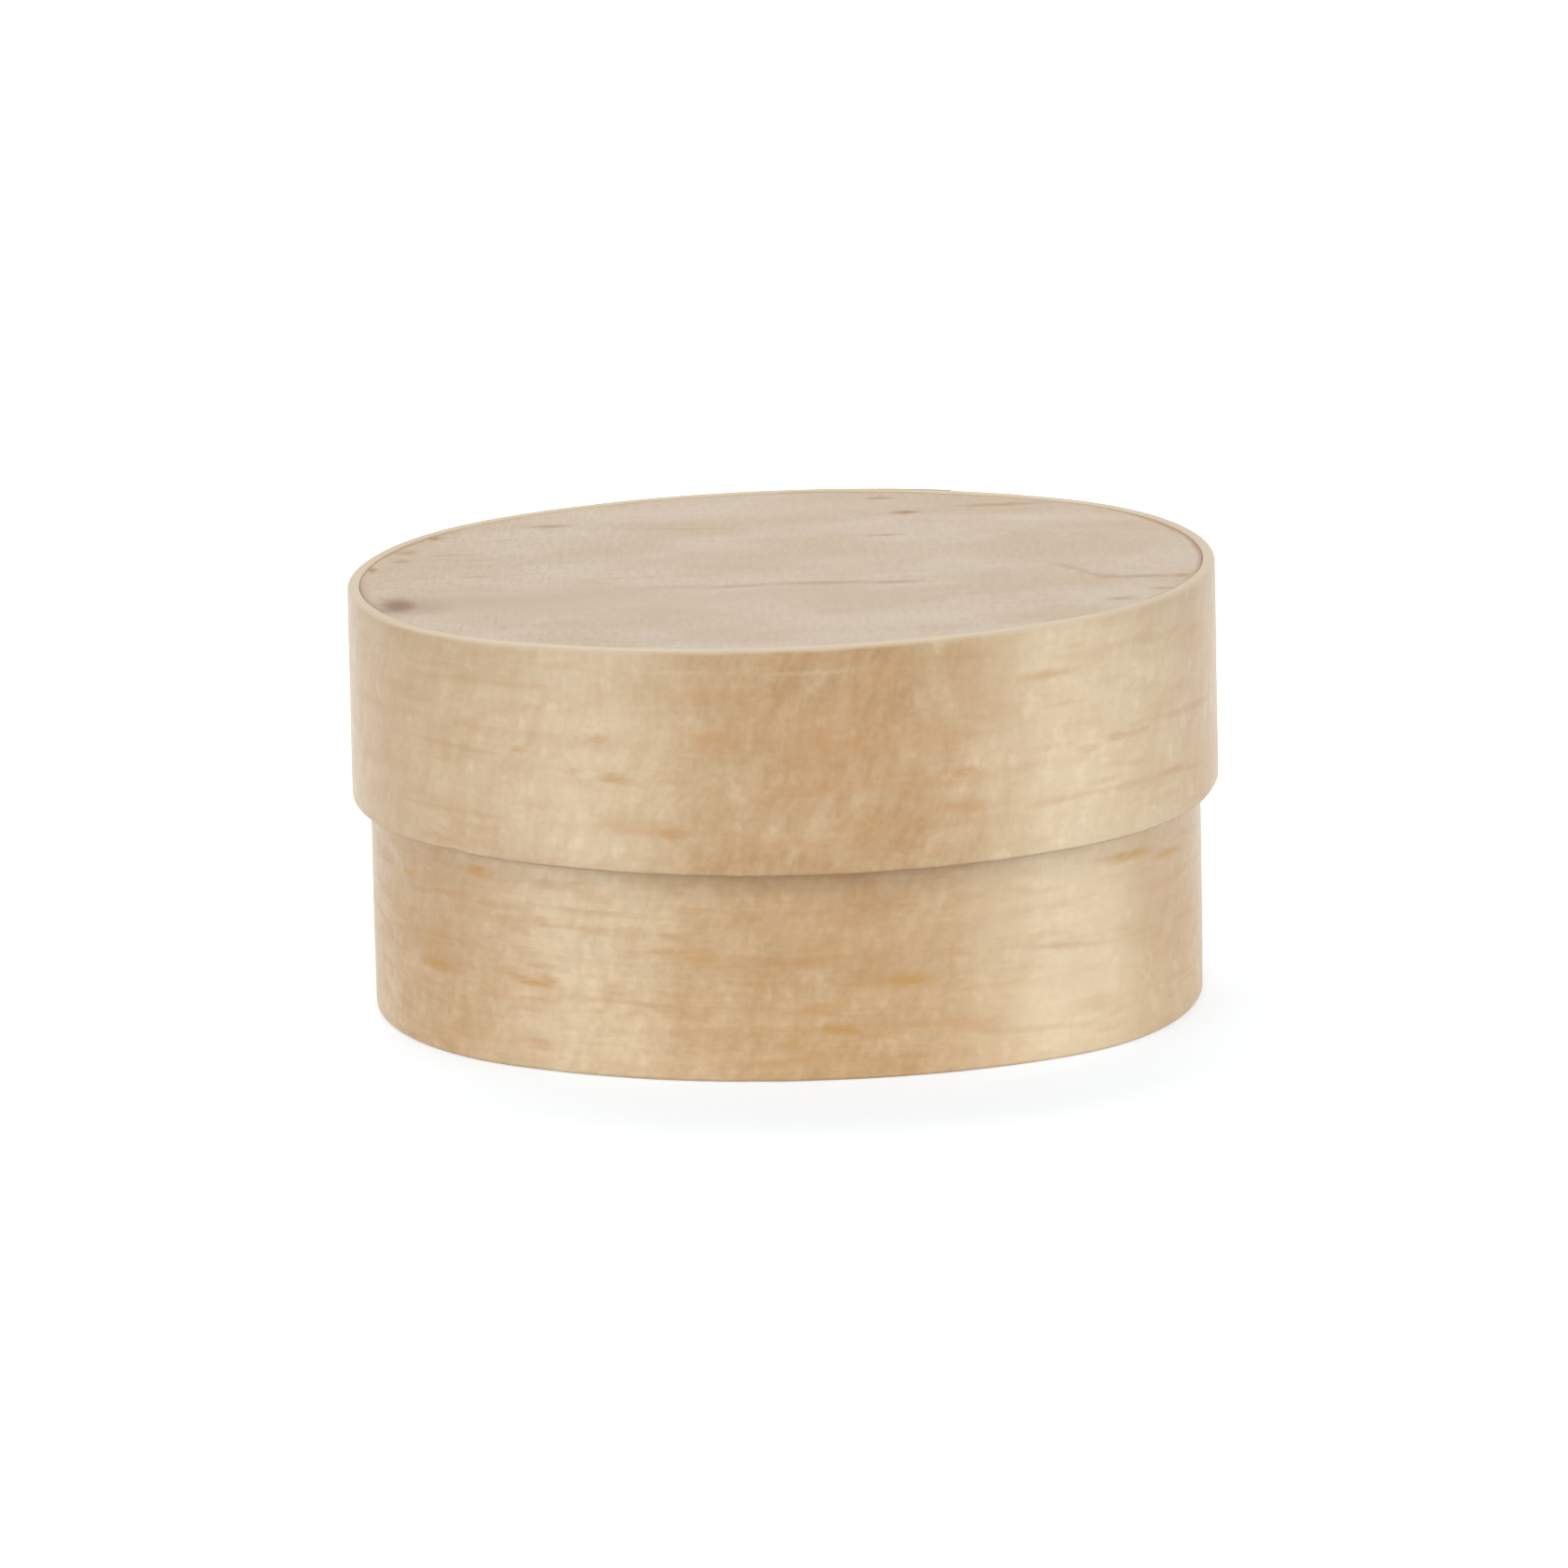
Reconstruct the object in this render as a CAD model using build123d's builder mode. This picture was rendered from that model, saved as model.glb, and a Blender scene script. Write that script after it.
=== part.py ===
from build123d import *
import math
import os

# An oval bentwood box with a deep slip-on lid, in millimetres.
# The origin is the middle of the flat underside, +Z is up and +X runs along the oval.
# The back, where the laps of both bands lie, is the +Y side.

# Outer outline of the lid: four tangent arcs, two round the ends and two along the sides
lid_length = 106.0
lid_width = 78.4
# Radius of the end arcs as a share of half the width, under 1 for an oval
end_radius_share = 0.88

# Bent strips
band_thickness = 1.5
lid_height = 27.0
base_height = 50.65
slip_clearance = 0.7

# Boards glued inside the bands
top_board_thickness = 3.0
top_board_recess = 0.15
bottom_board_thickness = 3.0
glue_line = 0.1

# Rounded edges
outer_edge_radius = 0.5
inner_edge_radius = 0.25
board_edge_radius = 0.3

# Laps, where the two ends of a strip are scarfed over each other
lap_length = 22.0
lap_end_thickness = 0.3
lap_end_margin = 0.7
lap_seat_depth = 0.2
lap_glue_thickness = 0.1
lid_lap_centre = 11.0
base_lap_centre = -9.0

# How far a cut runs past what it cuts
overrun = 1.0

half_length = lid_length / 2
half_width = lid_width / 2
lid_end_radius = end_radius_share * half_width
end_centre_x = half_length - lid_end_radius
side_radius = (end_centre_x**2 + half_width**2 - lid_end_radius**2) / (2 * (half_width - lid_end_radius))
side_centre_y = side_radius - half_width
join_angle = math.atan2(side_centre_y, end_centre_x)

# Insets are measured inwards from the outer face of the lid band
lid_board_inset = band_thickness + glue_line
base_inset = band_thickness + slip_clearance
base_board_inset = base_inset + band_thickness + glue_line

# The top board rests on the rim of the base, and the lid hangs down from it
top_board_z = base_height
closed_height = base_height + top_board_thickness + top_board_recess
lid_z = closed_height - lid_height


def oval(inset):
    """Return the oval face that lies an inset inside the lid's outer face."""
    end_radius = lid_end_radius - inset
    join_x = end_centre_x + end_radius * math.cos(join_angle)
    join_y = end_radius * math.sin(join_angle)
    with BuildSketch() as outline:
        with BuildLine():
            ThreePointArc((join_x, -join_y), (half_length - inset, 0), (join_x, join_y))
            ThreePointArc((join_x, join_y), (0, half_width - inset), (-join_x, join_y))
            ThreePointArc((-join_x, join_y), (inset - half_length, 0), (-join_x, -join_y))
            ThreePointArc((-join_x, -join_y), (0, inset - half_width), (join_x, -join_y))
        make_face()
    return outline.sketch


def back_point(inset, along, depth):
    """Return a point at a distance along a band's back face from its middle, and at a depth in it."""
    face_radius = side_radius - inset
    angle = along / face_radius
    reach = face_radius - depth
    return (reach * math.sin(angle), reach * math.cos(angle) - side_centre_y)


def lap_end(inset, centre):
    """Return the outer end of a strip, which rises from the band's face to its own thin tip."""
    start = centre - lap_length / 2
    tip = centre + lap_length / 2 + lap_glue_thickness / 2
    root = band_thickness / 2
    with BuildSketch() as outline:
        with BuildLine():
            ThreePointArc(
                back_point(inset, start, 0),
                back_point(inset, centre, -lap_end_thickness / 2),
                back_point(inset, tip, -lap_end_thickness),
            )
            Line(back_point(inset, tip, -lap_end_thickness), back_point(inset, tip, root))
            ThreePointArc(
                back_point(inset, tip, root),
                back_point(inset, centre, root),
                back_point(inset, start, root),
            )
            Line(back_point(inset, start, root), back_point(inset, start, 0))
        make_face()
    return outline.sketch


def slot(inset, near, far, top_depth, bottom_depth):
    """Return a narrow slot square to a band's face, from near to far along it and between two depths."""
    with BuildSketch() as outline:
        with BuildLine():
            Polyline(
                back_point(inset, near, top_depth),
                back_point(inset, far, top_depth),
                back_point(inset, far, bottom_depth),
                back_point(inset, near, bottom_depth),
                close=True,
            )
        make_face()
    return outline.sketch


def scarf(inset, centre):
    """Return the glue line that parts the two ends of a strip: a slant, with a slot out to each face."""
    start = centre - lap_length / 2
    tip = centre + lap_length / 2
    slant_start = start - lap_glue_thickness
    slant_tip = tip + lap_glue_thickness
    tip_depth = lap_seat_depth + lap_glue_thickness
    start_depth = band_thickness - lap_seat_depth
    middle_depth = (tip_depth + start_depth) / 2
    with BuildSketch() as outline:
        with BuildLine():
            ThreePointArc(
                back_point(inset, slant_tip, tip_depth),
                back_point(inset, centre, middle_depth),
                back_point(inset, slant_start, start_depth),
            )
            Line(
                back_point(inset, slant_start, start_depth),
                back_point(inset, slant_start, start_depth - lap_glue_thickness),
            )
            ThreePointArc(
                back_point(inset, slant_start, start_depth - lap_glue_thickness),
                back_point(inset, centre, middle_depth - lap_glue_thickness),
                back_point(inset, slant_tip, tip_depth - lap_glue_thickness),
            )
            Line(
                back_point(inset, slant_tip, tip_depth - lap_glue_thickness),
                back_point(inset, slant_tip, tip_depth),
            )
        make_face()
        add(slot(inset, tip, slant_tip, -lap_end_thickness - overrun, tip_depth))
        add(slot(inset, slant_start, start, start_depth - lap_glue_thickness, band_thickness + overrun))
    return outline.sketch


# Base band: the wall of the box, with its lap left of the middle of the back
with BuildPart() as base_band:
    with BuildSketch():
        add(oval(base_inset))
        add(oval(base_inset + band_thickness), mode=Mode.SUBTRACT)
    extrude(amount=base_height)
    base_rims = base_band.faces().filter_by(Axis.Z)
    fillet([edge for rim in base_rims for edge in rim.outer_wire().edges()], outer_edge_radius)
    base_rims = base_band.faces().filter_by(Axis.Z)
    fillet([edge for rim in base_rims for edge in rim.inner_wires()[0].edges()], inner_edge_radius)
    with BuildSketch(Plane.XY.offset(lap_end_margin)):
        add(lap_end(base_inset, base_lap_centre))
    extrude(amount=base_height - 2 * lap_end_margin)
    with BuildSketch(Plane.XY.offset(-overrun)):
        add(scarf(base_inset, base_lap_centre))
    extrude(amount=base_height + 2 * overrun, mode=Mode.SUBTRACT)
base_band.part.label = "base_band"

# Bottom board: glued inside the foot of the base band, flush with its edge
with BuildPart() as bottom_board:
    with BuildSketch():
        add(oval(base_board_inset))
    extrude(amount=bottom_board_thickness)
    fillet(bottom_board.edges().group_by(Axis.Z)[-1], board_edge_radius)
bottom_board.part.label = "bottom_board"

# Lid band: slips down over the base band, with its lap right of the middle of the back
with BuildPart() as lid_band:
    with BuildSketch(Plane.XY.offset(lid_z)):
        add(oval(0))
        add(oval(band_thickness), mode=Mode.SUBTRACT)
    extrude(amount=lid_height)
    lid_rims = lid_band.faces().filter_by(Axis.Z)
    fillet([edge for rim in lid_rims for edge in rim.outer_wire().edges()], outer_edge_radius)
    lid_rims = lid_band.faces().filter_by(Axis.Z)
    fillet([edge for rim in lid_rims for edge in rim.inner_wires()[0].edges()], inner_edge_radius)
    with BuildSketch(Plane.XY.offset(lid_z + lap_end_margin)):
        add(lap_end(0, lid_lap_centre))
    extrude(amount=lid_height - 2 * lap_end_margin)
    with BuildSketch(Plane.XY.offset(lid_z - overrun)):
        add(scarf(0, lid_lap_centre))
    extrude(amount=lid_height + 2 * overrun, mode=Mode.SUBTRACT)
lid_band.part.label = "lid_band"

# Top board: glued inside the lid band a little below its rim, and resting on the rim of the base
with BuildPart() as top_board:
    with BuildSketch(Plane.XY.offset(top_board_z)):
        add(oval(lid_board_inset))
    extrude(amount=top_board_thickness)
    fillet(top_board.edges().group_by(Axis.Z)[-1], board_edge_radius)
top_board.part.label = "top_board"

os.makedirs("parts", exist_ok=True)
export_step(base_band.part, "parts/base_band.step")
export_step(bottom_board.part, "parts/bottom_board.step")
export_step(lid_band.part, "parts/lid_band.step")
export_step(top_board.part, "parts/top_board.step")
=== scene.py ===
import logging
import math
from collections.abc import Callable, Iterator
from contextlib import contextmanager
from dataclasses import dataclass, field
from enum import Enum

import bmesh
import bpy
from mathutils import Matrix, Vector, noise


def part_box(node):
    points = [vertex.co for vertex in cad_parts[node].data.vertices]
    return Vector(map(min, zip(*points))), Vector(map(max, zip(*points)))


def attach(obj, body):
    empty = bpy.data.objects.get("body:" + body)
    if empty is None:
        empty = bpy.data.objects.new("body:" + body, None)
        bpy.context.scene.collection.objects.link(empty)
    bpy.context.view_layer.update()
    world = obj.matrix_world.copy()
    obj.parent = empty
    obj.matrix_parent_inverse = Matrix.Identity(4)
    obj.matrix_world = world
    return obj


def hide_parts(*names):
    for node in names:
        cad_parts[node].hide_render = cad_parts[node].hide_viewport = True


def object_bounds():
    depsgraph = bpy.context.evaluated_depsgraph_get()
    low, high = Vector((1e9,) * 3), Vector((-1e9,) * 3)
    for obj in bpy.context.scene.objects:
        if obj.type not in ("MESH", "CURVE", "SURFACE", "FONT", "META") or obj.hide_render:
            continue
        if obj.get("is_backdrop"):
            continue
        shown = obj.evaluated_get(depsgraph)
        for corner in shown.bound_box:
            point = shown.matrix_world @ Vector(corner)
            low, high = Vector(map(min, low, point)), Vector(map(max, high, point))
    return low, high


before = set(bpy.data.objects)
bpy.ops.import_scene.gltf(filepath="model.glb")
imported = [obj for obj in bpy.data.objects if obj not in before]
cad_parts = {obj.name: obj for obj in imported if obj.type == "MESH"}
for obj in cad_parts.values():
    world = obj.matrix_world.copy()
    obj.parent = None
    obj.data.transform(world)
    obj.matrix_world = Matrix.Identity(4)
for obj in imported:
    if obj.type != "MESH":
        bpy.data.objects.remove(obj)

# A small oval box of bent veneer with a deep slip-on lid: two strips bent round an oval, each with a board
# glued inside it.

cad_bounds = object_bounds()

log = logging.getLogger("cheese_box")

MM = 0.001
# Points nearer than this lie at the same place
NEAR = 0.01 * MM
# What a piece's mesh notes for its finish to read
STRIP_PLACE = "strip_place"
EDGE_DISTANCE = "edge_distance"
GRAIN_MAP = "grain"
# How far the grain map leans with depth, so that it has a direction on every face
GRAIN_LEAN = 0.3
# Turns a gloss from along the grain to across it
QUARTER_TURN = 0.25
# The way along which a seed sets one cloud off from another
SEED_WAY = (1.0, 2.3, 5.1)
# The angle past which an edge stays sharp, in degrees
CREASE_ANGLE = 40.0

Piece = bpy.types.Object
Socket = bpy.types.NodeSocket
Colour = tuple[float, float, float, float]
Triple = tuple[float, float, float]
Stops = tuple[tuple[float, float], ...]
Value = Socket | float | tuple[float, ...]
Inputs = dict[str | int, Value] | tuple[Value, ...]

WHITE: Colour = (1, 1, 1, 1)


class Body(Enum):
    """The bodies that pieces ride on."""

    BASE = "base"
    LID = "lid"


class Slot(Enum):
    """The names of material slots, which no piece here takes its finish from."""

    BASE_VENEER = "base_veneer"
    BOTTOM_WOOD = "bottom_wood"
    LID_VENEER = "lid_veneer"
    TOP_WOOD = "top_wood"


class MarkKind(Enum):
    """The sorts of marks that show in the wood."""

    FLECK = "fleck"
    STREAK = "streak"
    STAIN = "stain"
    SHADE = "shade"
    PALE = "pale"
    JOINT = "joint"


def tone(red: float, green: float, blue: float) -> Colour:
    """Turn a colour as a paint card gives it, 0 to 255 a channel, into the linear colour that a shader takes.

    Args:
        red: The red value.
        green: The green value.
        blue: The blue value.

    Returns:
        The linear colour, with an alpha of 1.
    """
    def linear(value: float) -> float:
        """Return one channel in linear light."""
        share = value / 255
        return share / 12.92 if share <= 0.04045 else ((share + 0.055) / 1.055) ** 2.4

    return (linear(red), linear(green), linear(blue), 1.0)


@contextmanager
def edit_mode(piece: Piece) -> Iterator[None]:
    """Open one piece in edit mode with nothing selected, and close it at the end.

    Args:
        piece: The piece to work on.

    Yields:
        Nothing, while the piece is open.
    """
    take_up(piece)
    bpy.ops.object.mode_set(mode="EDIT")
    bpy.ops.mesh.select_mode(type="VERT")
    bpy.ops.mesh.select_all(action="DESELECT")
    yield
    bpy.ops.object.mode_set(mode="OBJECT")


def take_up(piece: Piece) -> None:
    """Select one piece alone and make it the active one.

    Args:
        piece: The piece to take up.
    """
    bpy.ops.object.select_all(action="DESELECT")
    piece.select_set(True)
    bpy.context.view_layer.objects.active = piece


def pick_edges(piece: Piece, wanted: Callable[[Vector, Vector], bool]) -> None:
    """Select the edges of a piece in edit mode that a test asks for, and no others.

    Args:
        piece: The piece, already in edit mode.
        wanted: Says from its two ends whether an edge is picked.
    """
    bpy.ops.mesh.select_mode(type="EDGE")
    bpy.ops.mesh.select_all(action="DESELECT")
    shape = bmesh.from_edit_mesh(piece.data)
    for edge in shape.edges:
        edge.select_set(wanted(edge.verts[0].co, edge.verts[1].co))
    bmesh.update_edit_mesh(piece.data)


def pick_level_faces(piece: Piece, level: float) -> None:
    """Select the faces of a piece in edit mode that lie flat at one height, and no others.

    Args:
        piece: The piece, already in edit mode.
        level: The height of the faces.
    """
    bpy.ops.mesh.select_mode(type="FACE")
    bpy.ops.mesh.select_all(action="DESELECT")
    shape = bmesh.from_edit_mesh(piece.data)
    for face in shape.faces:
        face.select_set(all(abs(corner.co.z - level) < NEAR for corner in face.verts))
    bmesh.update_edit_mesh(piece.data)


def smooth(piece: Piece) -> None:
    """Shade a finished piece smooth, except over its sharp edges."""
    take_up(piece)
    bpy.ops.object.shade_smooth_by_angle(angle=math.radians(CREASE_ANGLE))


def map_grain(piece: Piece, laid: Callable[[Vector], tuple[float, float]]) -> None:
    """Lay the grain map on a piece, so that its gloss knows which way the fibres run.

    Args:
        piece: The piece, before it is bent.
        laid: Says from its place where a point lies on the map.
    """
    grain = piece.data.uv_layers.new(name=GRAIN_MAP)
    for corner in piece.data.loops:
        grain.data[corner.index].uv = laid(piece.data.vertices[corner.vertex_index].co)


def take_new(name: str) -> Piece:
    """Name the primitive that was just added, and apply its place and size to its mesh.

    Args:
        name: The new piece's name.

    Returns:
        The new piece.
    """
    piece = bpy.context.object
    piece.name = name
    piece.data.name = name
    bpy.ops.object.transform_apply(location=True, rotation=True, scale=True)
    return piece


@dataclass(frozen=True)
class Arc:
    """One arc of an outline, drawn anticlockwise as seen from above."""

    centre: Vector
    radius: float
    start: float
    turn: float

    @property
    def length(self) -> float:
        """The arc's length."""
        return self.radius * self.turn

    def point(self, share: float) -> Vector:
        """Return the point at a share of the way along the arc."""
        angle = self.start + share * self.turn
        return self.centre + self.radius * Vector((math.cos(angle), math.sin(angle), 0))

    def heading(self, share: float) -> Vector:
        """Return the way the arc runs at a share of its length."""
        angle = self.start + share * self.turn
        return Vector((-math.sin(angle), math.cos(angle), 0))


@dataclass(frozen=True)
class Oval:
    """An outline of four tangent arcs, two round the ends and two along the sides."""

    half_length: float
    half_width: float
    end_radius: float
    span_turn: float = math.radians(32)
    span_steps: int = 64

    @property
    def end_centre_x(self) -> float:
        """How far the centre of an end arc lies from the middle."""
        return self.half_length - self.end_radius

    @property
    def side_radius(self) -> float:
        """The radius of the long, flat arcs."""
        squares = self.end_centre_x**2 + self.half_width**2 - self.end_radius**2
        return squares / (2 * (self.half_width - self.end_radius))

    @property
    def side_centre_y(self) -> float:
        """How far the centre of a side arc lies beyond the middle."""
        return self.side_radius - self.half_width

    @property
    def join_angle(self) -> float:
        """The direction of the point where an end arc meets a side arc, from the end arc's centre."""
        return math.atan2(self.side_centre_y, self.end_centre_x)

    @property
    def perimeter(self) -> float:
        """The length of the whole outline."""
        return sum(arc.length for arc in self.arcs())

    def inset(self, distance: float) -> "Oval":
        """Return the outline that lies a distance inside this one."""
        return Oval(self.half_length - distance, self.half_width - distance, self.end_radius - distance)

    def arcs(self) -> tuple[Arc, ...]:
        """Lay out the arcs.

        Returns:
            The arcs in order, from the middle of the front all the way round to it.
        """
        join = self.join_angle
        side_turn = math.pi - 2 * join
        quarter = math.pi / 2
        front = Vector((0, self.side_centre_y, 0))
        right = Vector((self.end_centre_x, 0, 0))
        return (
            Arc(front, self.side_radius, -quarter, side_turn / 2),
            Arc(right, self.end_radius, -join, 2 * join),
            Arc(-front, self.side_radius, join, side_turn),
            Arc(-right, self.end_radius, math.pi - join, 2 * join),
            Arc(front, self.side_radius, math.pi + join, side_turn / 2),
        )

    def depth_of(self, place: Vector) -> float:
        """Return how far a place lies inside the outline.

        Args:
            place: Any place; its height doesn't matter.

        Returns:
            The distance to the outline, negative outside it.
        """
        along, across = abs(place.x), abs(place.y)
        past_centre = along - self.end_centre_x
        if past_centre > 0 and across < past_centre * math.tan(self.join_angle):
            return self.end_radius - math.hypot(past_centre, across)
        return self.side_radius - math.hypot(along, across + self.side_centre_y)

    def former(self) -> Piece:
        """Make the former, a closed curve to bend strips round.

        A bent strip is measured from the curve's last point, so that one is the middle of the front.

        Returns:
            The curve object.
        """
        spans = []
        for arc in self.arcs():
            count = max(2, round(arc.turn / self.span_turn))
            # The length of handle with which a curve follows its arc
            reach = 4 / 3 * math.tan(arc.turn / count / 4) * arc.radius
            for step in range(1, count + 1):
                spans.append((arc.point(step / count), arc.heading(step / count), reach))
        line = bpy.data.curves.new("former", "CURVE")
        line.dimensions = "3D"
        line.resolution_u = self.span_steps
        line.twist_mode = "Z_UP"
        spline = line.splines.new("BEZIER")
        spline.bezier_points.add(len(spans) - 1)
        spline.use_cyclic_u = True
        for index, (point, heading, reach) in enumerate(spans):
            next_reach = spans[(index + 1) % len(spans)][2]
            knot = spline.bezier_points[index]
            knot.handle_left_type = "FREE"
            knot.handle_right_type = "FREE"
            knot.co = point
            knot.handle_left = point - reach * heading
            knot.handle_right = point + next_reach * heading
        former = bpy.data.objects.new("former", line)
        bpy.context.scene.collection.objects.link(former)
        return former


@dataclass(frozen=True)
class Nick:
    """A small dent in an edge of a strip: where it is along the strip, and its half length and depth."""

    along: float
    half_length: float
    depth: float


@dataclass
class Strip:
    """A strip that is planed flat, then bent round a former.

    Flat, x runs along the strip from the middle of the front, y is the depth in from its outer face,
    and z is the height. A veneer strip's two ends are skived and lie over each other at the lap.
    The edge and nick powers say how close to an edge its unevenness and its nicks stay, and the
    edge step reads that unevenness elsewhere in the noise than the face's.
    """

    name: str
    outline: Oval
    low: float
    height: float
    thickness: float
    outer_tip: float
    inner_tip: float
    lap: float = 0.0
    proud: float = 0.0
    film: float = 0.0
    outer_rounding: float = 0.5 * MM
    inner_rounding: float = 0.25 * MM
    segment: float = 1.0 * MM
    row: float = 1.5 * MM
    edge_wave: float = 0.05 * MM
    edge_wave_size: tuple[float, float] = (9 * MM, 30 * MM)
    edge_power: int = 4
    edge_step: float = 7.0
    face_wave: float = 0.03 * MM
    face_wave_size: tuple[float, float] = (14 * MM, 11 * MM)
    belly: float = 0.0
    lean: float = 0.0
    belly_middle: float = 10.0 * MM
    belly_reach: float = 55.0 * MM
    nicks: tuple[Nick, ...] = ()
    nick_power: int = 20
    seed: float = 0.0

    def make(self) -> Piece:
        """Make the strip from sawing to bending.

        Returns:
            The finished piece.
        """
        piece = self.saw()
        self.round_edges(piece)
        self.mark_out(piece)
        self.lay_grain(piece)
        self.skive(piece)
        self.weather(piece)
        self.bend(piece)
        smooth(piece)
        return piece

    def saw(self) -> Piece:
        """Saw the strip to its length, thickness and height.

        Returns:
            The new piece.
        """
        length = self.inner_tip - self.outer_tip
        middle = (self.outer_tip + self.inner_tip) / 2
        bpy.ops.object.select_all(action="DESELECT")
        bpy.ops.mesh.primitive_cube_add(
            size=1,
            location=(middle, self.thickness / 2, self.low + self.height / 2),
            scale=(length, self.thickness, self.height),
        )
        return take_new(self.name)

    def round_edges(self, piece: Piece) -> None:
        """Round the four long edges, the outer two more than the inner two.

        Args:
            piece: The sawn strip.
        """
        with edit_mode(piece):
            for depth, rounding in ((0.0, self.outer_rounding), (self.thickness, self.inner_rounding)):
                pick_edges(piece, lambda a, b, y=depth: abs(a.x - b.x) > self.lap + NEAR
                           and abs(a.y - y) < NEAR and abs(b.y - y) < NEAR)
                bpy.ops.mesh.bevel(offset=rounding, segments=4, profile=0.5, affect="EDGES")

    def mark_out(self, piece: Piece) -> None:
        """Divide the strip along its length and its height, finely enough to bend and to wear.

        Args:
            piece: The strip with its edges rounded.
        """
        length = self.inner_tip - self.outer_tip
        # One call makes at most 100 cuts, so the length is divided in two goes
        coarse = 8
        fine = round(length / self.segment / coarse)
        rows = round(self.height / self.row)
        longer = 1.5
        with edit_mode(piece):
            for count in (coarse, fine):
                pick_edges(piece, lambda a, b: abs(a.x - b.x) > longer * self.segment)
                bpy.ops.mesh.subdivide(number_cuts=count - 1)
            if rows > 1:
                pick_edges(piece, lambda a, b: abs(a.z - b.z) > longer * self.row)
                bpy.ops.mesh.subdivide(number_cuts=rows - 1)

    def lay_grain(self, piece: Piece) -> None:
        """Note each point's place in the flat strip, for the grain to follow.

        Args:
            piece: The divided strip, still flat.
        """
        places = piece.data.attributes.new(STRIP_PLACE, "FLOAT_VECTOR", "POINT")
        for point, place in zip(piece.data.vertices, places.data):
            place.vector = point.co
        map_grain(piece, lambda point: (point.x, point.z + GRAIN_LEAN * point.y))

    def skive(self, piece: Piece) -> None:
        """Plane both ends to a slant, so that one lies over the other with a film of glue between.

        Args:
            piece: The divided strip, still flat.
        """
        if not self.lap:
            return
        planed = self.thickness - 2 * self.film
        for point in piece.data.vertices:
            share = point.co.y / self.thickness
            from_outer_tip = (point.co.x - self.outer_tip) / self.lap
            from_inner_tip = (self.inner_tip - point.co.x) / self.lap
            from_edge = min(point.co.z - self.low, self.low + self.height - point.co.z)
            proud = self.proud if from_edge > self.row else 0.0
            if from_outer_tip < 1:
                top = proud * (from_outer_tip - 1)
                foot = planed * from_outer_tip
                point.co.y = top + share * (foot - top)
            elif from_inner_tip < 1:
                top = self.film + planed * (1 - from_inner_tip)
                point.co.y = top + share * (self.thickness - top)

    def weather(self, piece: Piece) -> None:
        """Make the edges and the outer face a little uneven, as worked by hand, and dent the nicks.

        Round the middle of the front the strip is a little wider, and its foot stands out a little.

        Args:
            piece: The strip, still flat.
        """
        half_height = self.height / 2
        middle = self.low + half_height
        face_length, face_height = self.face_wave_size
        edge_length, edge_height = self.edge_wave_size
        edge_seed = self.seed + self.edge_step
        for point in piece.data.vertices:
            drift = noise.noise(Vector((point.co.x / face_length, point.co.z / face_height, self.seed)))
            if point.co.y < self.thickness / 2:
                point.co.y += self.face_wave * drift
            edge = noise.noise(Vector((point.co.x / edge_length, edge_seed, point.co.z / edge_height)))
            inwards = 1 if point.co.z < middle else -1
            share = min(1, abs(point.co.z - middle) / half_height)
            point.co.z += inwards * share**self.edge_power * self.edge_wave * abs(edge)
            fullness = max(0.0, 1 - ((point.co.x - self.belly_middle) / self.belly_reach) ** 2)
            level = (point.co.z - middle) / half_height
            point.co.z += self.belly * fullness * level
            point.co.y -= self.lean * fullness * (1 - level) / 2
            if point.co.z < middle:
                for nick in self.nicks:
                    reach = (point.co.x - nick.along) / nick.half_length
                    point.co.z += share**self.nick_power * nick.depth * math.exp(-reach * reach)

    def bend(self, piece: Piece) -> None:
        """Bend the strip round its former, and join its ends if they meet.

        Args:
            piece: The finished flat strip.
        """
        former = self.outline.former()
        bender = piece.modifiers.new("bend", "CURVE")
        bender.object = former
        bender.deform_axis = "POS_X"
        take_up(piece)
        bpy.ops.object.modifier_apply(modifier=bender.name)
        line = former.data
        bpy.data.objects.remove(former)
        bpy.data.curves.remove(line)
        if not self.lap:
            with edit_mode(piece):
                bpy.ops.mesh.select_all(action="SELECT")
                bpy.ops.mesh.remove_doubles(threshold=NEAR)


@dataclass
class Bead(Strip):
    """A bead of squeezed-out glue that runs all the way round an inner corner.

    Its lumps are read off a circle in a cloud, so that they meet where the bead closes.
    """

    segment: float = 1.4 * MM
    swell: float = 0.35
    lump_circle: float = 22.0

    def mark_out(self, piece: Piece) -> None:
        """Divide the bead along its length, and open its two ends so that they can meet.

        Args:
            piece: The bead with its edges rounded.
        """
        super().mark_out(piece)
        with edit_mode(piece):
            bpy.ops.mesh.select_mode(type="FACE")
            shape = bmesh.from_edit_mesh(piece.data)
            for face in shape.faces:
                places = [corner.co.x for corner in face.verts]
                tips = (self.outer_tip, self.inner_tip)
                face.select_set(any(all(abs(place - tip) < NEAR for place in places) for tip in tips))
            bmesh.update_edit_mesh(piece.data)
            bpy.ops.mesh.delete(type="FACE")

    def weather(self, piece: Piece) -> None:
        """Let the bead swell and shrink along its length.

        Args:
            piece: The bead, still straight.
        """
        whole_turn = 2 * math.pi / self.outline.perimeter
        middle = self.low + self.height / 2
        for point in piece.data.vertices:
            angle = whole_turn * point.co.x
            around = self.lump_circle * Vector((math.cos(angle), math.sin(angle), 0))
            size = 1 + self.swell * noise.noise(around + Vector((0, 0, self.seed)))
            point.co.y *= size
            point.co.z = middle + size * (point.co.z - middle)


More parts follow.
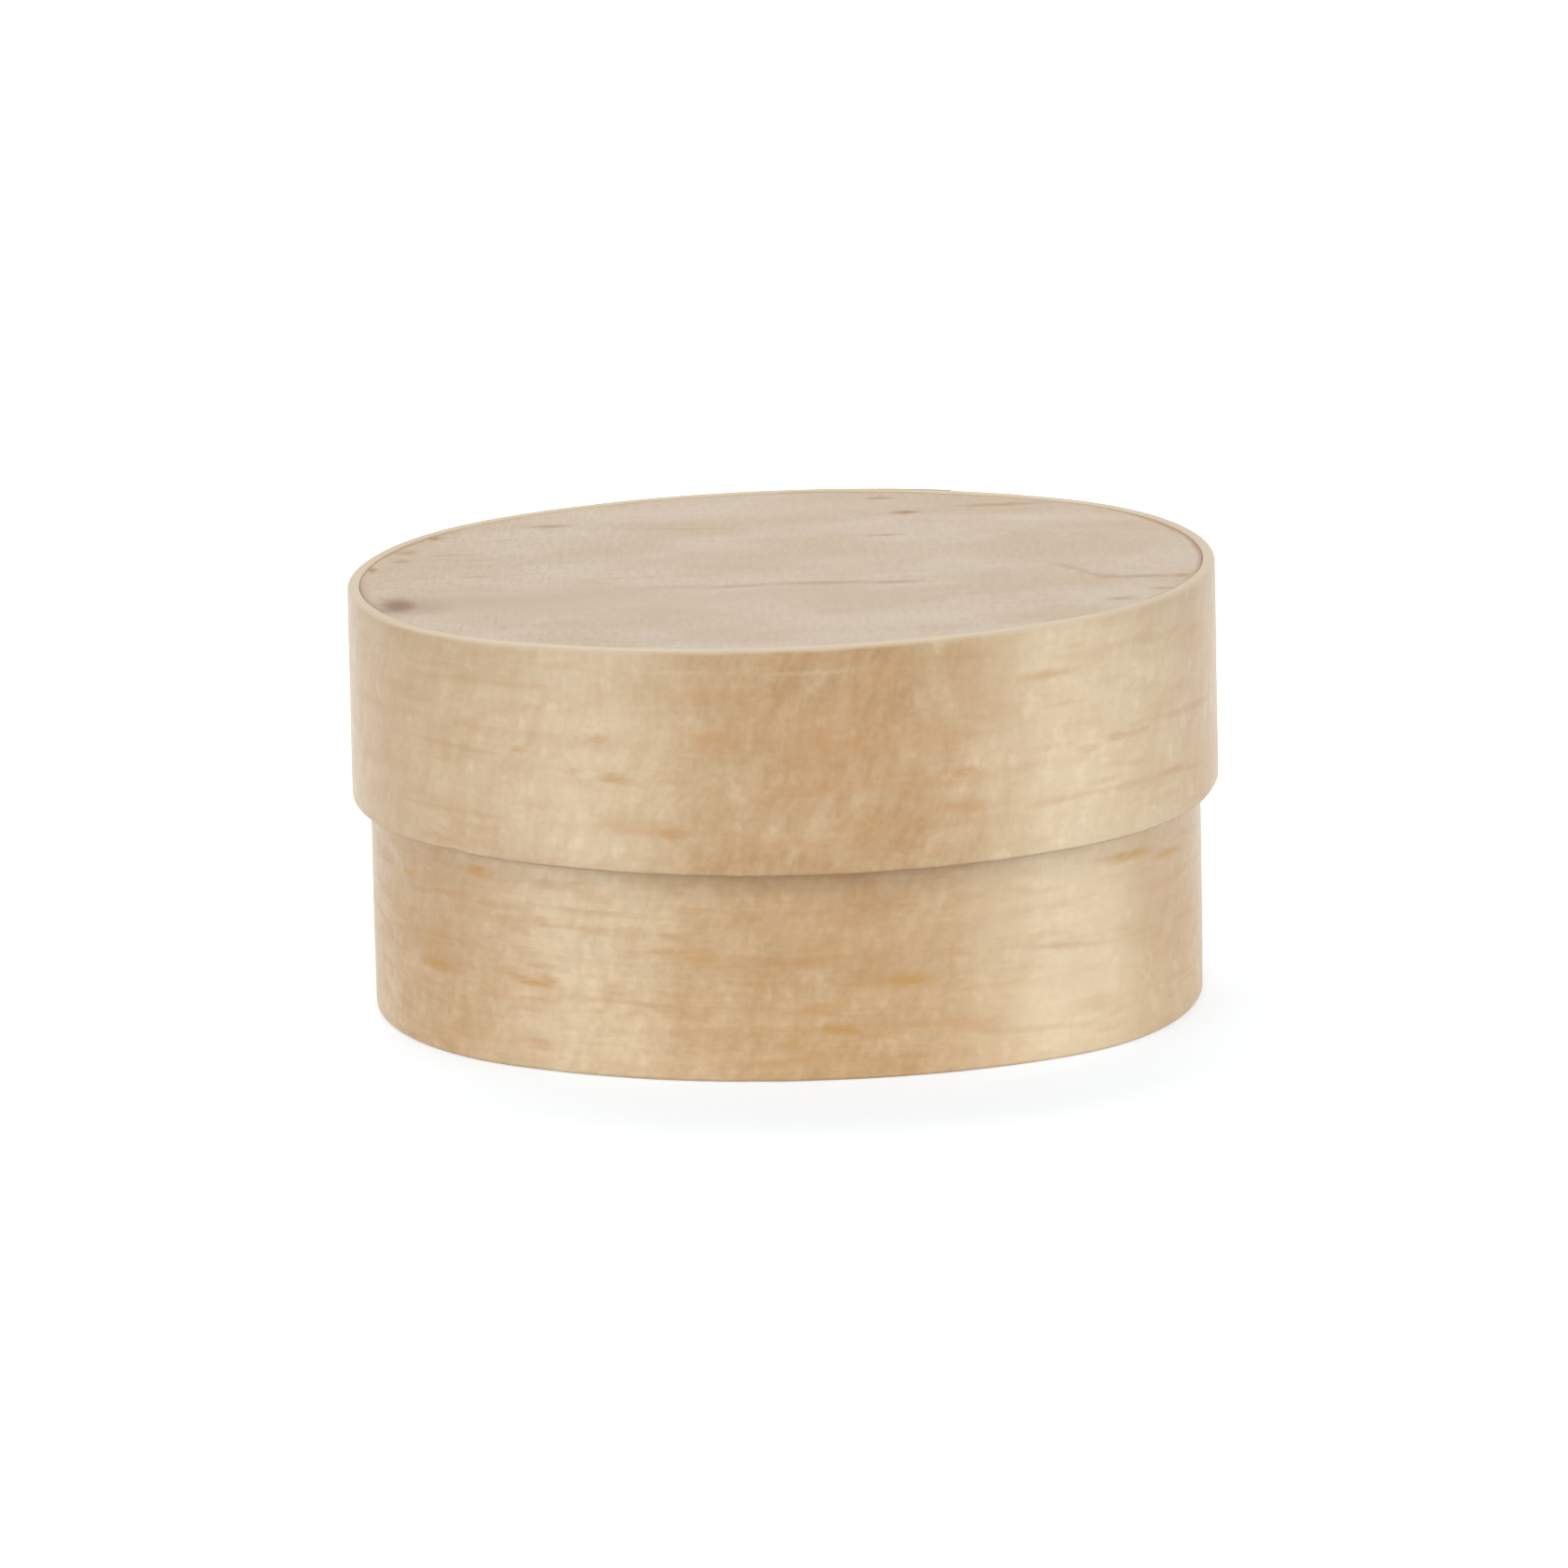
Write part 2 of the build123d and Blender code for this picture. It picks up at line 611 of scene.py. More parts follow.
@dataclass
class Board:
    """A flat oval board with its grain along the box."""

    name: str
    outline: Oval
    low: float
    thickness: float
    edge_rounding: float = 0.12 * MM
    rings: tuple[float, ...] = (0.2 * MM, 0.3 * MM, 0.6 * MM, 1.2 * MM)
    cell: float = 5.0 * MM
    cup: float = 0.05 * MM
    ripple: float = 0.4
    ripple_size: tuple[float, float] = (30 * MM, 9 * MM)
    seed: float = 0.0

    @property
    def high(self) -> float:
        """The height of the board's upper face."""
        return self.low + self.thickness

    def make(self) -> Piece:
        """Make the board from its outline to its eased edge.

        Returns:
            The finished piece.
        """
        piece = self.draw()
        self.thicken(piece)
        self.divide(piece)
        self.lay_grain(piece)
        self.season(piece)
        smooth(piece)
        return piece

    def draw(self) -> Piece:
        """Draw the outline by turning one point round each arc's centre, and fill it.

        Returns:
            The new piece, a flat oval.
        """
        arcs = self.outline.arcs()
        start = arcs[0].point(0)
        bpy.ops.object.select_all(action="DESELECT")
        bpy.ops.mesh.primitive_plane_add(size=MM, location=(start.x, start.y, self.low))
        piece = take_new(self.name)
        with edit_mode(piece):
            bpy.ops.mesh.select_all(action="SELECT")
            bpy.ops.mesh.merge(type="CENTER")
            for arc in arcs:
                centre = (arc.centre.x, arc.centre.y, self.low)
                steps = round(arc.length / MM)
                bpy.ops.mesh.spin(steps=steps, angle=arc.turn, center=centre, axis=(0, 0, -1))
            bpy.ops.mesh.select_all(action="SELECT")
            bpy.ops.mesh.remove_doubles(threshold=NEAR)
            bpy.ops.mesh.edge_face_add()
        return piece

    def thicken(self, piece: Piece) -> None:
        """Draw the flat oval up to the board's thickness, and ease its upper edge.

        Args:
            piece: The flat oval.
        """
        with edit_mode(piece):
            bpy.ops.mesh.select_all(action="SELECT")
            bpy.ops.mesh.extrude_region_move(TRANSFORM_OT_translate={"value": (0, 0, self.thickness)})
            bpy.ops.mesh.select_all(action="SELECT")
            bpy.ops.mesh.normals_make_consistent(inside=False)
            pick_edges(piece, lambda a, b: min(a.z, b.z) > self.high - NEAR)
            bpy.ops.mesh.bevel(offset=self.edge_rounding, segments=3, profile=0.5, affect="EDGES")

    def divide(self, piece: Piece) -> None:
        """Ring the upper face near its edge, and cut the whole board into cells.

        Args:
            piece: The solid board.
        """
        with edit_mode(piece):
            pick_level_faces(piece, self.high)
            for ring in self.rings:
                bpy.ops.mesh.inset(thickness=ring, depth=0)
            ways = {(1, 0, 0): self.outline.half_length, (0, 1, 0): self.outline.half_width}
            for direction, reach in ways.items():
                count = int(reach / self.cell)
                for step in range(-count, count + 1):
                    place = tuple(step * self.cell * share for share in direction)
                    bpy.ops.mesh.select_all(action="SELECT")
                    bpy.ops.mesh.bisect(plane_co=place, plane_no=direction)

    def lay_grain(self, piece: Piece) -> None:
        """Note how far each point lies from the edge, and lay the grain map along the board.

        Args:
            piece: The divided board.
        """
        distances = piece.data.attributes.new(EDGE_DISTANCE, "FLOAT", "POINT")
        for point, distance in zip(piece.data.vertices, distances.data):
            distance.value = max(0.0, self.outline.depth_of(point.co))
        map_grain(piece, lambda point: (point.x, point.y + GRAIN_LEAN * point.z))

    def season(self, piece: Piece) -> None:
        """Let the upper face cup and ripple very slightly.

        Args:
            piece: The divided board.
        """
        length, width = self.ripple_size
        for point in piece.data.vertices:
            if point.co.z > self.high - self.edge_rounding - NEAR:
                bow = 1 - (point.co.y / self.outline.half_width) ** 2
                wave = noise.noise(Vector((point.co.x / length, point.co.y / width, self.seed)))
                point.co.z -= self.cup * bow * (1 - self.ripple + self.ripple * wave)


@dataclass(frozen=True)
class Mark:
    """A mark in the wood: its middle and half sizes in millimetres, its strength, and its tilt in degrees.

    On a strip, along is the distance from the middle of the front, and across is the height.
    On a board they are x and y.
    """

    along: float
    across: float
    half_length: float
    half_width: float
    strength: float
    tilt: float = 0.0


@dataclass(frozen=True)
class Cloud:
    """Soft random patches: their size each way in millimetres, and what sets them off from other clouds.

    The step sets one cloud off from another, and detail is how many finer layers it has.
    Its patches fade in between the two values of fade, out of a range from 0 to 1.
    """

    size: Triple
    step: float = 0.0
    detail: float = 1.0
    fade: tuple[float, float] = (0.0, 1.0)


@dataclass(frozen=True)
class Shake:
    """A random movement that gives drawn marks ragged edges: its reach and its waves' size in millimetres."""

    reach: Triple
    size: Triple


class Bench:
    """A material or a surround being put together, with a short method for each sort of node."""

    def __init__(self, owner: bpy.types.Material | bpy.types.World, seed: float = 0.0) -> None:
        """Start without any node.

        Args:
            owner: The new material or world.
            seed: Sets its clouds off from another's.
        """
        owner.use_nodes = True
        self.owner = owner
        self.seed = seed
        self.tree = owner.node_tree
        self.tree.nodes.clear()

    def add(self, kind: str, inputs: Inputs = (), **settings: object) -> bpy.types.Node:
        """Add a node, set it up and feed it.

        Args:
            kind: The node's type.
            inputs: The sockets and plain values that it is fed, in order or by input.
            **settings: Its settings by name.

        Returns:
            The new node.
        """
        node = self.tree.nodes.new(kind)
        for name, value in settings.items():
            setattr(node, name, value)
        for key, value in inputs.items() if isinstance(inputs, dict) else enumerate(inputs):
            if isinstance(value, Socket):
                self.tree.links.new(value, node.inputs[key])
            else:
                node.inputs[key].default_value = value
        return node

    def finish(self, shader: Socket, output: str = "ShaderNodeOutputMaterial") -> bpy.types.ID:
        """Show a shader on the surface of the material or world, and return that."""
        self.add(output, {"Surface": shader})
        return self.owner

    def attribute(self, name: str) -> bpy.types.Node:
        """Return a node that reads one of the piece's own attributes."""
        return self.add("ShaderNodeAttribute", attribute_type="GEOMETRY", attribute_name=name)

    def maths(self, operation: str, *values: Value) -> Socket:
        """Return the answer of a sum."""
        return self.add("ShaderNodeMath", values, operation=operation).outputs[0]

    def vector_maths(self, operation: str, *values: Value) -> Socket:
        """Return the answer of a sum with vectors."""
        node = self.add("ShaderNodeVectorMath", values, operation=operation)
        return node.outputs["Value" if operation == "LENGTH" else "Vector"]

    def parts(self, vector: Socket) -> tuple[Socket, ...]:
        """Return the three numbers of a vector."""
        return tuple(self.add("ShaderNodeSeparateXYZ", (vector,)).outputs)

    def join(self, *numbers: Value) -> Socket:
        """Return the vector of three numbers."""
        return self.add("ShaderNodeCombineXYZ", numbers).outputs[0]

    def ease(self, value: Socket, low: float, high: float, first: float = 0.0, last: float = 1.0) -> Socket:
        """Return a number that changes smoothly from first to last as the value goes from low to high."""
        inputs = (value, low, high, first, last)
        return self.add("ShaderNodeMapRange", inputs, interpolation_type="SMOOTHSTEP").outputs[0]

    def total(self, *terms: tuple[Value, Value]) -> Value:
        """Add up terms, each a number and what it is multiplied by.

        Args:
            *terms: The terms.

        Returns:
            Their total.
        """
        total: Value = 0.0
        for number, factor in terms:
            total = self.maths("MULTIPLY_ADD", number, factor, total)
        return total

    def sway(self, *clouds: tuple[Socket, float]) -> Value:
        """Add up clouds, each multiplied by its amount after it is centred on zero."""
        return self.total(*((self.maths("SUBTRACT", cloud, 0.5), amount) for cloud, amount in clouds))

    def noise(self, place: Socket, size: Triple, seed: float, detail: float) -> bpy.types.Node:
        """Add noise with patches of about a given size.

        Args:
            place: Where it is looked up.
            size: The patches' size each way, in millimetres.
            seed: Sets it off from other noise.
            detail: How many finer layers it has.

        Returns:
            The noise's node.
        """
        location = tuple(share * seed for share in SEED_WAY)
        scale = tuple(1 / (length * MM) for length in size)
        spot = self.add("ShaderNodeMapping", {"Vector": place, "Location": location, "Scale": scale})
        return self.add("ShaderNodeTexNoise", {"Vector": spot.outputs[0], "Scale": 1.0, "Detail": detail})

    def cloud(self, place: Socket, cloud: Cloud) -> Socket:
        """Return how thick a cloud is at a place, from 0 to 1."""
        return self.noise(place, cloud.size, self.seed + cloud.step, cloud.detail).outputs["Fac"]

    def patches(self, place: Socket, cloud: Cloud, first: float = 0.0, last: float = 1.0) -> Socket:
        """Return one value between a cloud's patches and another inside them, with a soft change."""
        return self.ease(self.cloud(place, cloud), *cloud.fade, first, last)

    def shaken(self, place: Socket, shake: Shake) -> Socket:
        """Move a place a little, so that what is drawn there has ragged edges.

        Args:
            place: The place to move.
            shake: How it moves.

        Returns:
            The moved place.
        """
        waves = self.noise(place, shake.size, 0.0, 2.0).outputs["Color"]
        move = self.vector_maths("SUBTRACT", waves, (0.5, 0.5, 0.5))
        reach = tuple(2 * length * MM for length in shake.reach)
        return self.vector_maths("MULTIPLY_ADD", move, reach, place)

    def mix(self, share: Value, first: Value, second: Value) -> Socket:
        """Mix two colours by a share from 0, all the first, to 1, all the second."""
        return self.add("ShaderNodeMix", {0: share, 6: first, 7: second}, data_type="RGBA").outputs[2]

    def blend(self, share: Socket, first: Colour, second: Colour) -> Socket:
        """Mix two colours by a share that may run a little past either of them."""
        colours = {0: share, 4: first[:3], 5: second[:3]}
        return self.add("ShaderNodeMix", colours, data_type="VECTOR", clamp_factor=False).outputs[1]

    def shade(self, colour: Socket, amount: Socket) -> Socket:
        """Lighten or darken a colour by a factor."""
        return self.vector_maths("MULTIPLY", colour, self.join(amount, amount, amount))

    def marks(self, flat_place: Socket, marks: list[Mark], softness: float) -> Value:
        """Draw the listed marks, each an oval patch that fades at its edge.

        Args:
            flat_place: A vector of along, across and how far it lies behind the marks.
            marks: The marks to draw.
            softness: The share of a mark's half size over which it fades.

        Returns:
            How strongly a mark shows, from 0 to 1.
        """
        total: Value = 0.0
        for mark in marks:
            spot = {
                "Vector": flat_place,
                "Location": (mark.along * MM, mark.across * MM, 0),
                "Rotation": (0, 0, math.radians(mark.tilt)),
                "Scale": (mark.half_length * MM, mark.half_width * MM, 1),
            }
            mapping = self.add("ShaderNodeMapping", spot, vector_type="TEXTURE")
            reach = self.vector_maths("LENGTH", mapping.outputs[0])
            shown = self.ease(reach, 1 - softness, 1 + softness / 2, mark.strength, 0.0)
            total = self.maths("MAXIMUM", total, shown)
        return total

    def stops(self, value: Socket, stops: Stops) -> Socket:
        """Read a number off a list of given stops.

        Args:
            value: The place on the list.
            stops: Pairs of place, in millimetres, and number, in order.

        Returns:
            The number's socket.
        """
        first, last = stops[0][0] * MM, stops[-1][0] * MM
        share = self.maths("DIVIDE", self.maths("SUBTRACT", value, first), last - first)
        ramp = self.add("ShaderNodeValToRGB", (share,))
        ramp.color_ramp.interpolation = "EASE"
        elements = ramp.color_ramp.elements
        for place, _ in stops[1:-1]:
            elements.new((place * MM - first) / (last - first))
        for element, (_, number) in zip(elements, stops):
            element.color = (number, number, number, 1)
        return ramp.outputs["Color"]


@dataclass(frozen=True, kw_only=True)
class WoodFinish:
    """What the look of any bare sanded wood has."""

    name: str
    seed: float
    wood: Colour
    pale: Colour
    marks: dict[MarkKind, tuple[Mark, ...]]
    roughness: float
    rough_swing: float
    sheen: float
    anisotropy: float
    relief: float

    def start(self) -> Bench:
        """Start the finish's material."""
        return Bench(bpy.data.materials.new(self.name), self.seed)

    def drawn(self, bench: Bench, place: Socket, *kinds: MarkKind, softness: float = 0.9) -> Value:
        """Return how strongly the marks of some kinds show at a place, from 0 to 1."""
        marks = [mark for kind in kinds for mark in self.marks.get(kind, ())]
        return bench.marks(place, marks, softness)

    def sand(self, bench: Bench, colour: Socket, uneven: Socket, height: Socket) -> bpy.types.Material:
        """Finish the material as bare sanded wood, whose fibres spread the light across the grain.

        Args:
            bench: The material being put together.
            colour: The wood's colour.
            uneven: Where it is rougher, from 0 to 1.
            height: The relief of its fibres, from 0 to 1.

        Returns:
            The finished material.
        """
        bump = bench.add("ShaderNodeBump", {"Distance": self.relief, "Height": height})
        tangent = bench.add("ShaderNodeTangent", direction_type="UV_MAP", uv_map=GRAIN_MAP)
        smoothest = self.roughness - self.rough_swing / 2
        surface = {
            "Base Color": colour,
            "Roughness": bench.maths("MULTIPLY_ADD", uneven, self.rough_swing, smoothest),
            "Normal": bump.outputs[0],
            "Tangent": tangent.outputs[0],
            "Specular IOR Level": self.sheen,
            "Anisotropic": self.anisotropy,
            "Anisotropic Rotation": QUARTER_TURN,
        }
        return bench.finish(bench.add("ShaderNodeBsdfPrincipled", surface).outputs[0])


@dataclass(frozen=True, kw_only=True)
class VeneerFinish(WoodFinish):
    """The look of a bent strip: paler and darker stretches, partly the wood's own tone and partly painted
    sheen and shade, mottled curl, growth lines, fibres and flecks, and painted light and shade by height and
    at its edges.

    The stops along the strip say how pale the wood is there: round the back that is the wood's own tone,
    while on the front the pale stretches either side of the middle are a painted sheen and the dark middle is
    painted shade.
    The figure stops say how lively the wood is there, and the height stops give painted light and shade at
    each height, brighter towards the base's foot and darker towards the lid's top. A cloud's amount says how
    far it makes the colour swing.
    Stray flecks lie one to a cell: their spacing is in millimetres, their lengths and fade are shares
    of a cell, and only a cell whose chance is high enough shows one.
    """

    line: Colour
    fleck: Colour
    rim: Colour
    # The brown of the painted shade along the lower edge
    shaded_foot_colour: Colour
    pale_tone_and_sheen: Stops
    figure: Stops
    # Painted light and shade at each height
    light_by_height: Stops
    darkest: float = -0.35
    palest: float = 1.25

    curl: float = 0.62
    curl_cloud: Cloud = Cloud((1.6, 6, 4.6), 2, 2)
    curl_slant: float = -0.28
    curl_drift: Cloud = Cloud((26, 20, 12), 1)
    curl_wander: float = 5 * MM
    patch: float = 0.6
    patch_cloud: Cloud = Cloud((7, 6, 4.5), 5, 3)
    blotch: float = 0.25
    blotch_cloud: Cloud = Cloud((2.2, 4, 3), 8, 2, (0.56, 0.76))
    warmth: float = 0.3
    warm_cloud: Cloud = Cloud((9, 6, 2.4), 6, 2, (0.5, 0.72))
    fibre: float = 0.03
    fibre_cloud: Cloud = Cloud((6, 0.5, 0.45), 3, 2)
    speckle: float = 0.1
    speckle_cloud: Cloud = Cloud((0.9, 0.8, 0.8), 4, 2)

    line_spacing: float
    line_offset: float
    line_strength: float = 0.26
    line_drift: Cloud = Cloud((42, 20, 26), 0, 2)
    line_wander: float = 5 * MM
    line_breaks: Cloud = Cloud((13, 6, 3), 7, 1, (0.42, 0.66))
    late_wood: float = 0.5
    densest_wood: float = 0.8

    mark_shake: Shake = Shake((1.0, 0, 0.35), (1.6, 2, 0.8))
    mark_depth: float = 2 * MM
    streaky_cloud: Cloud = Cloud((2.4, 0.6, 0.35), 10, 1, (0.3, 0.52))
    streaky_least: float = 0.5
    stray_shake: Shake = Shake((0.8, 0, 0.25), (1.8, 2, 0.7))
    stray_spacing: Triple = (11, 9, 3.4)
    stray_shape: Triple = (1.0, 0.3, 1.9)
    stray_least: float = 0.08
    stray_spread: float = 0.14
    stray_fade: tuple[float, float] = (0.4, 1.2)
    stray_chance: tuple[float, float] = (0.78, 0.95)
    stray_strength: float = 0.35

    edge_cloud: Cloud = Cloud((6, 2, 2), 9)
    # The upper edge is paler, partly as sanded end grain and partly as a painted highlight along the rim
    rim_tone_and_highlight: float = 0.85
    rim_wander: float = 0.5 * MM
    rim_fade: tuple[float, float] = (0.3 * MM, 0.85 * MM)
    # Painted shade along the lower edge
    foot_shading: float = 0.8
    foot_wander: float = 0.3 * MM
    foot_reach: float = 0.55 * MM

    roughness: float = 0.46
    rough_swing: float = 0.1
    sheen: float = 0.9
    anisotropy: float = 0.7
    relief: float = 0.009 * MM
    curl_relief: float = 0.6
    fibre_relief: float = 0.3
    speckle_relief: float = 0.2

    def material(self, low: float, high: float) -> bpy.types.Material:
        """Put the finish together for a strip between two heights.

        Args:
            low: The height of the strip's lower edge.
            high: The height of its upper edge.

        Returns:
            The finished material.
        """
        bench = self.start()
        place = bench.attribute(STRIP_PLACE).outputs["Vector"]
        along, depth, height = bench.parts(place)
        slanted = bench.maths("MULTIPLY_ADD", height, self.curl_slant, along)
        leaned = bench.maths("MULTIPLY_ADD", bench.cloud(place, self.curl_drift), self.curl_wander, slanted)
        curl = bench.cloud(bench.join(leaned, depth, height), self.curl_cloud)
        fibre = bench.cloud(place, self.fibre_cloud)
        speckle = bench.cloud(place, self.speckle_cloud)
        patch = bench.cloud(place, self.patch_cloud)

        figure = bench.stops(along, self.figure)
        uneven = bench.sway((curl, self.curl), (patch, self.patch))
        # The stops along the strip give the wood's own tone round the back, and on the front a painted sheen
        # either side of the middle and painted shade in the middle
        share = bench.maths("MULTIPLY_ADD", uneven, figure, bench.stops(along, self.pale_tone_and_sheen))
        share = bench.maths("ADD", share, bench.patches(place, self.blotch_cloud, 0.0, self.blotch))
        share = bench.maths("MINIMUM", bench.maths("MAXIMUM", share, self.darkest), self.palest)
        colour = bench.blend(share, self.wood, self.pale)
        line_strength = bench.maths("MULTIPLY", figure, self.line_strength)
        lines = bench.maths("MULTIPLY", self.growth_lines(bench, place, height), line_strength)
        colour = bench.mix(lines, colour, self.line)
        warm = bench.maths("MULTIPLY", bench.patches(place, self.warm_cloud, 0.0, self.warmth), figure)
        colour = bench.mix(warm, colour, self.line)
        grain = bench.sway((fibre, 2 * self.fibre), (speckle, 2 * self.speckle))
        colour = bench.shade(colour, bench.maths("MULTIPLY_ADD", grain, figure, 1.0))
        # Painted light and shade by height: brighter towards the base's foot, darker towards the lid's top
        colour = bench.shade(colour, bench.stops(height, self.light_by_height))

        shaken_along, _, shaken_height = bench.parts(bench.shaken(place, self.mark_shake))
        behind = bench.maths("MULTIPLY", depth, 1 / self.mark_depth)
        spot = bench.join(shaken_along, shaken_height, behind)
        colour = bench.mix(self.drawn(bench, spot, MarkKind.PALE), colour, self.pale)
        colour = bench.mix(self.drawn(bench, spot, MarkKind.SHADE), colour, self.line)
        stray = bench.maths("MULTIPLY", self.stray_flecks(bench, place), figure)
        fleck = bench.maths("MAXIMUM", self.drawn(bench, spot, MarkKind.FLECK), stray)
        fleck = bench.maths("MULTIPLY", fleck, bench.patches(place, self.streaky_cloud, self.streaky_least))
        colour = bench.mix(fleck, colour, self.fleck)
        colour = self.edge_tone_and_light(bench, colour, place, low, high)
        reliefs = ((fibre, self.fibre_relief), (curl, self.curl_relief), (speckle, self.speckle_relief))
        return self.sand(bench, colour, patch, bench.total(*reliefs))

    def growth_lines(self, bench: Bench, place: Socket, height: Socket) -> Socket:
        """Draw the growth lines, which run along the strip, wander a little and break off.

        Args:
            bench: The material being put together.
            place: The place in the flat strip.
            height: Its height.

        Returns:
            How strongly a line shows.
        """
        drift = bench.cloud(place, self.line_drift)
        raised = bench.maths("MULTIPLY_ADD", drift, self.line_wander, height)
        level = bench.maths("SUBTRACT", raised, self.line_offset * MM)
        year = bench.maths("FRACT", bench.maths("DIVIDE", level, self.line_spacing * MM))
        rise = bench.ease(year, self.late_wood, self.densest_wood)
        fall = bench.ease(year, self.densest_wood, 1.0, 1.0, 0.0)
        line = bench.maths("MULTIPLY", rise, fall)
        return bench.maths("MULTIPLY", line, bench.patches(place, self.line_breaks))

    def edge_tone_and_light(self, bench: Bench, colour: Socket, place: Socket, low: float, high: float) -> Socket:
        """Paint the upper edge paler, as the sanded end grain and as a painted highlight along the rim, and
        paint brown shade along the foot.

        Args:
            bench: The material being put together.
            colour: The colour so far.
            place: The place in the flat strip.
            low: The height of the strip's lower edge.
            high: The height of its upper edge.

        Returns:
            The new colour's socket.
        """
        _, _, height = bench.parts(place)
        edge_wobble = bench.cloud(place, self.edge_cloud)
        down = bench.maths("SUBTRACT", bench.maths("MULTIPLY_ADD", edge_wobble, self.rim_wander, high), height)
        up = bench.maths("SUBTRACT", height, bench.maths("MULTIPLY_ADD", edge_wobble, -self.foot_wander, low))
        # Painted shade, browner towards the lower edge
        colour = bench.mix(bench.ease(up, 0.0, self.foot_reach, self.foot_shading, 0.0), colour, self.shaded_foot_colour)
        # Paler upper edge: partly sanded end grain, partly a painted highlight along the rim
        return bench.mix(bench.ease(down, *self.rim_fade, self.rim_tone_and_highlight, 0.0), colour, self.rim)

    def stray_flecks(self, bench: Bench, place: Socket) -> Socket:
        """Scatter short flecks thinly over the whole strip.

        Args:
            bench: The material being put together.
            place: The place in the flat strip.

        Returns:
            How strongly a fleck shows.
        """
        scale = tuple(1 / (length * MM) for length in self.stray_spacing)
        location = (self.seed, 0, self.seed)
        shaken = bench.shaken(place, self.stray_shake)
        mapping = bench.add("ShaderNodeMapping", {"Vector": shaken, "Location": location, "Scale": scale})
        spot = mapping.outputs[0]
        cells = bench.add("ShaderNodeTexVoronoi", {"Vector": spot, "Scale": 1.0}, feature="F1").outputs
        chance, length, _ = bench.parts(cells["Color"])
        away = bench.vector_maths("SUBTRACT", spot, cells["Position"])
        reach = bench.vector_maths("LENGTH", bench.vector_maths("MULTIPLY", away, self.stray_shape))
        size = bench.maths("MULTIPLY_ADD", length, self.stray_spread, self.stray_least)
        body = bench.ease(bench.maths("DIVIDE", reach, size), *self.stray_fade, 1.0, 0.0)
        chosen = bench.ease(chance, *self.stray_chance, 0.0, self.stray_strength)
        return bench.maths("MULTIPLY", body, chosen)


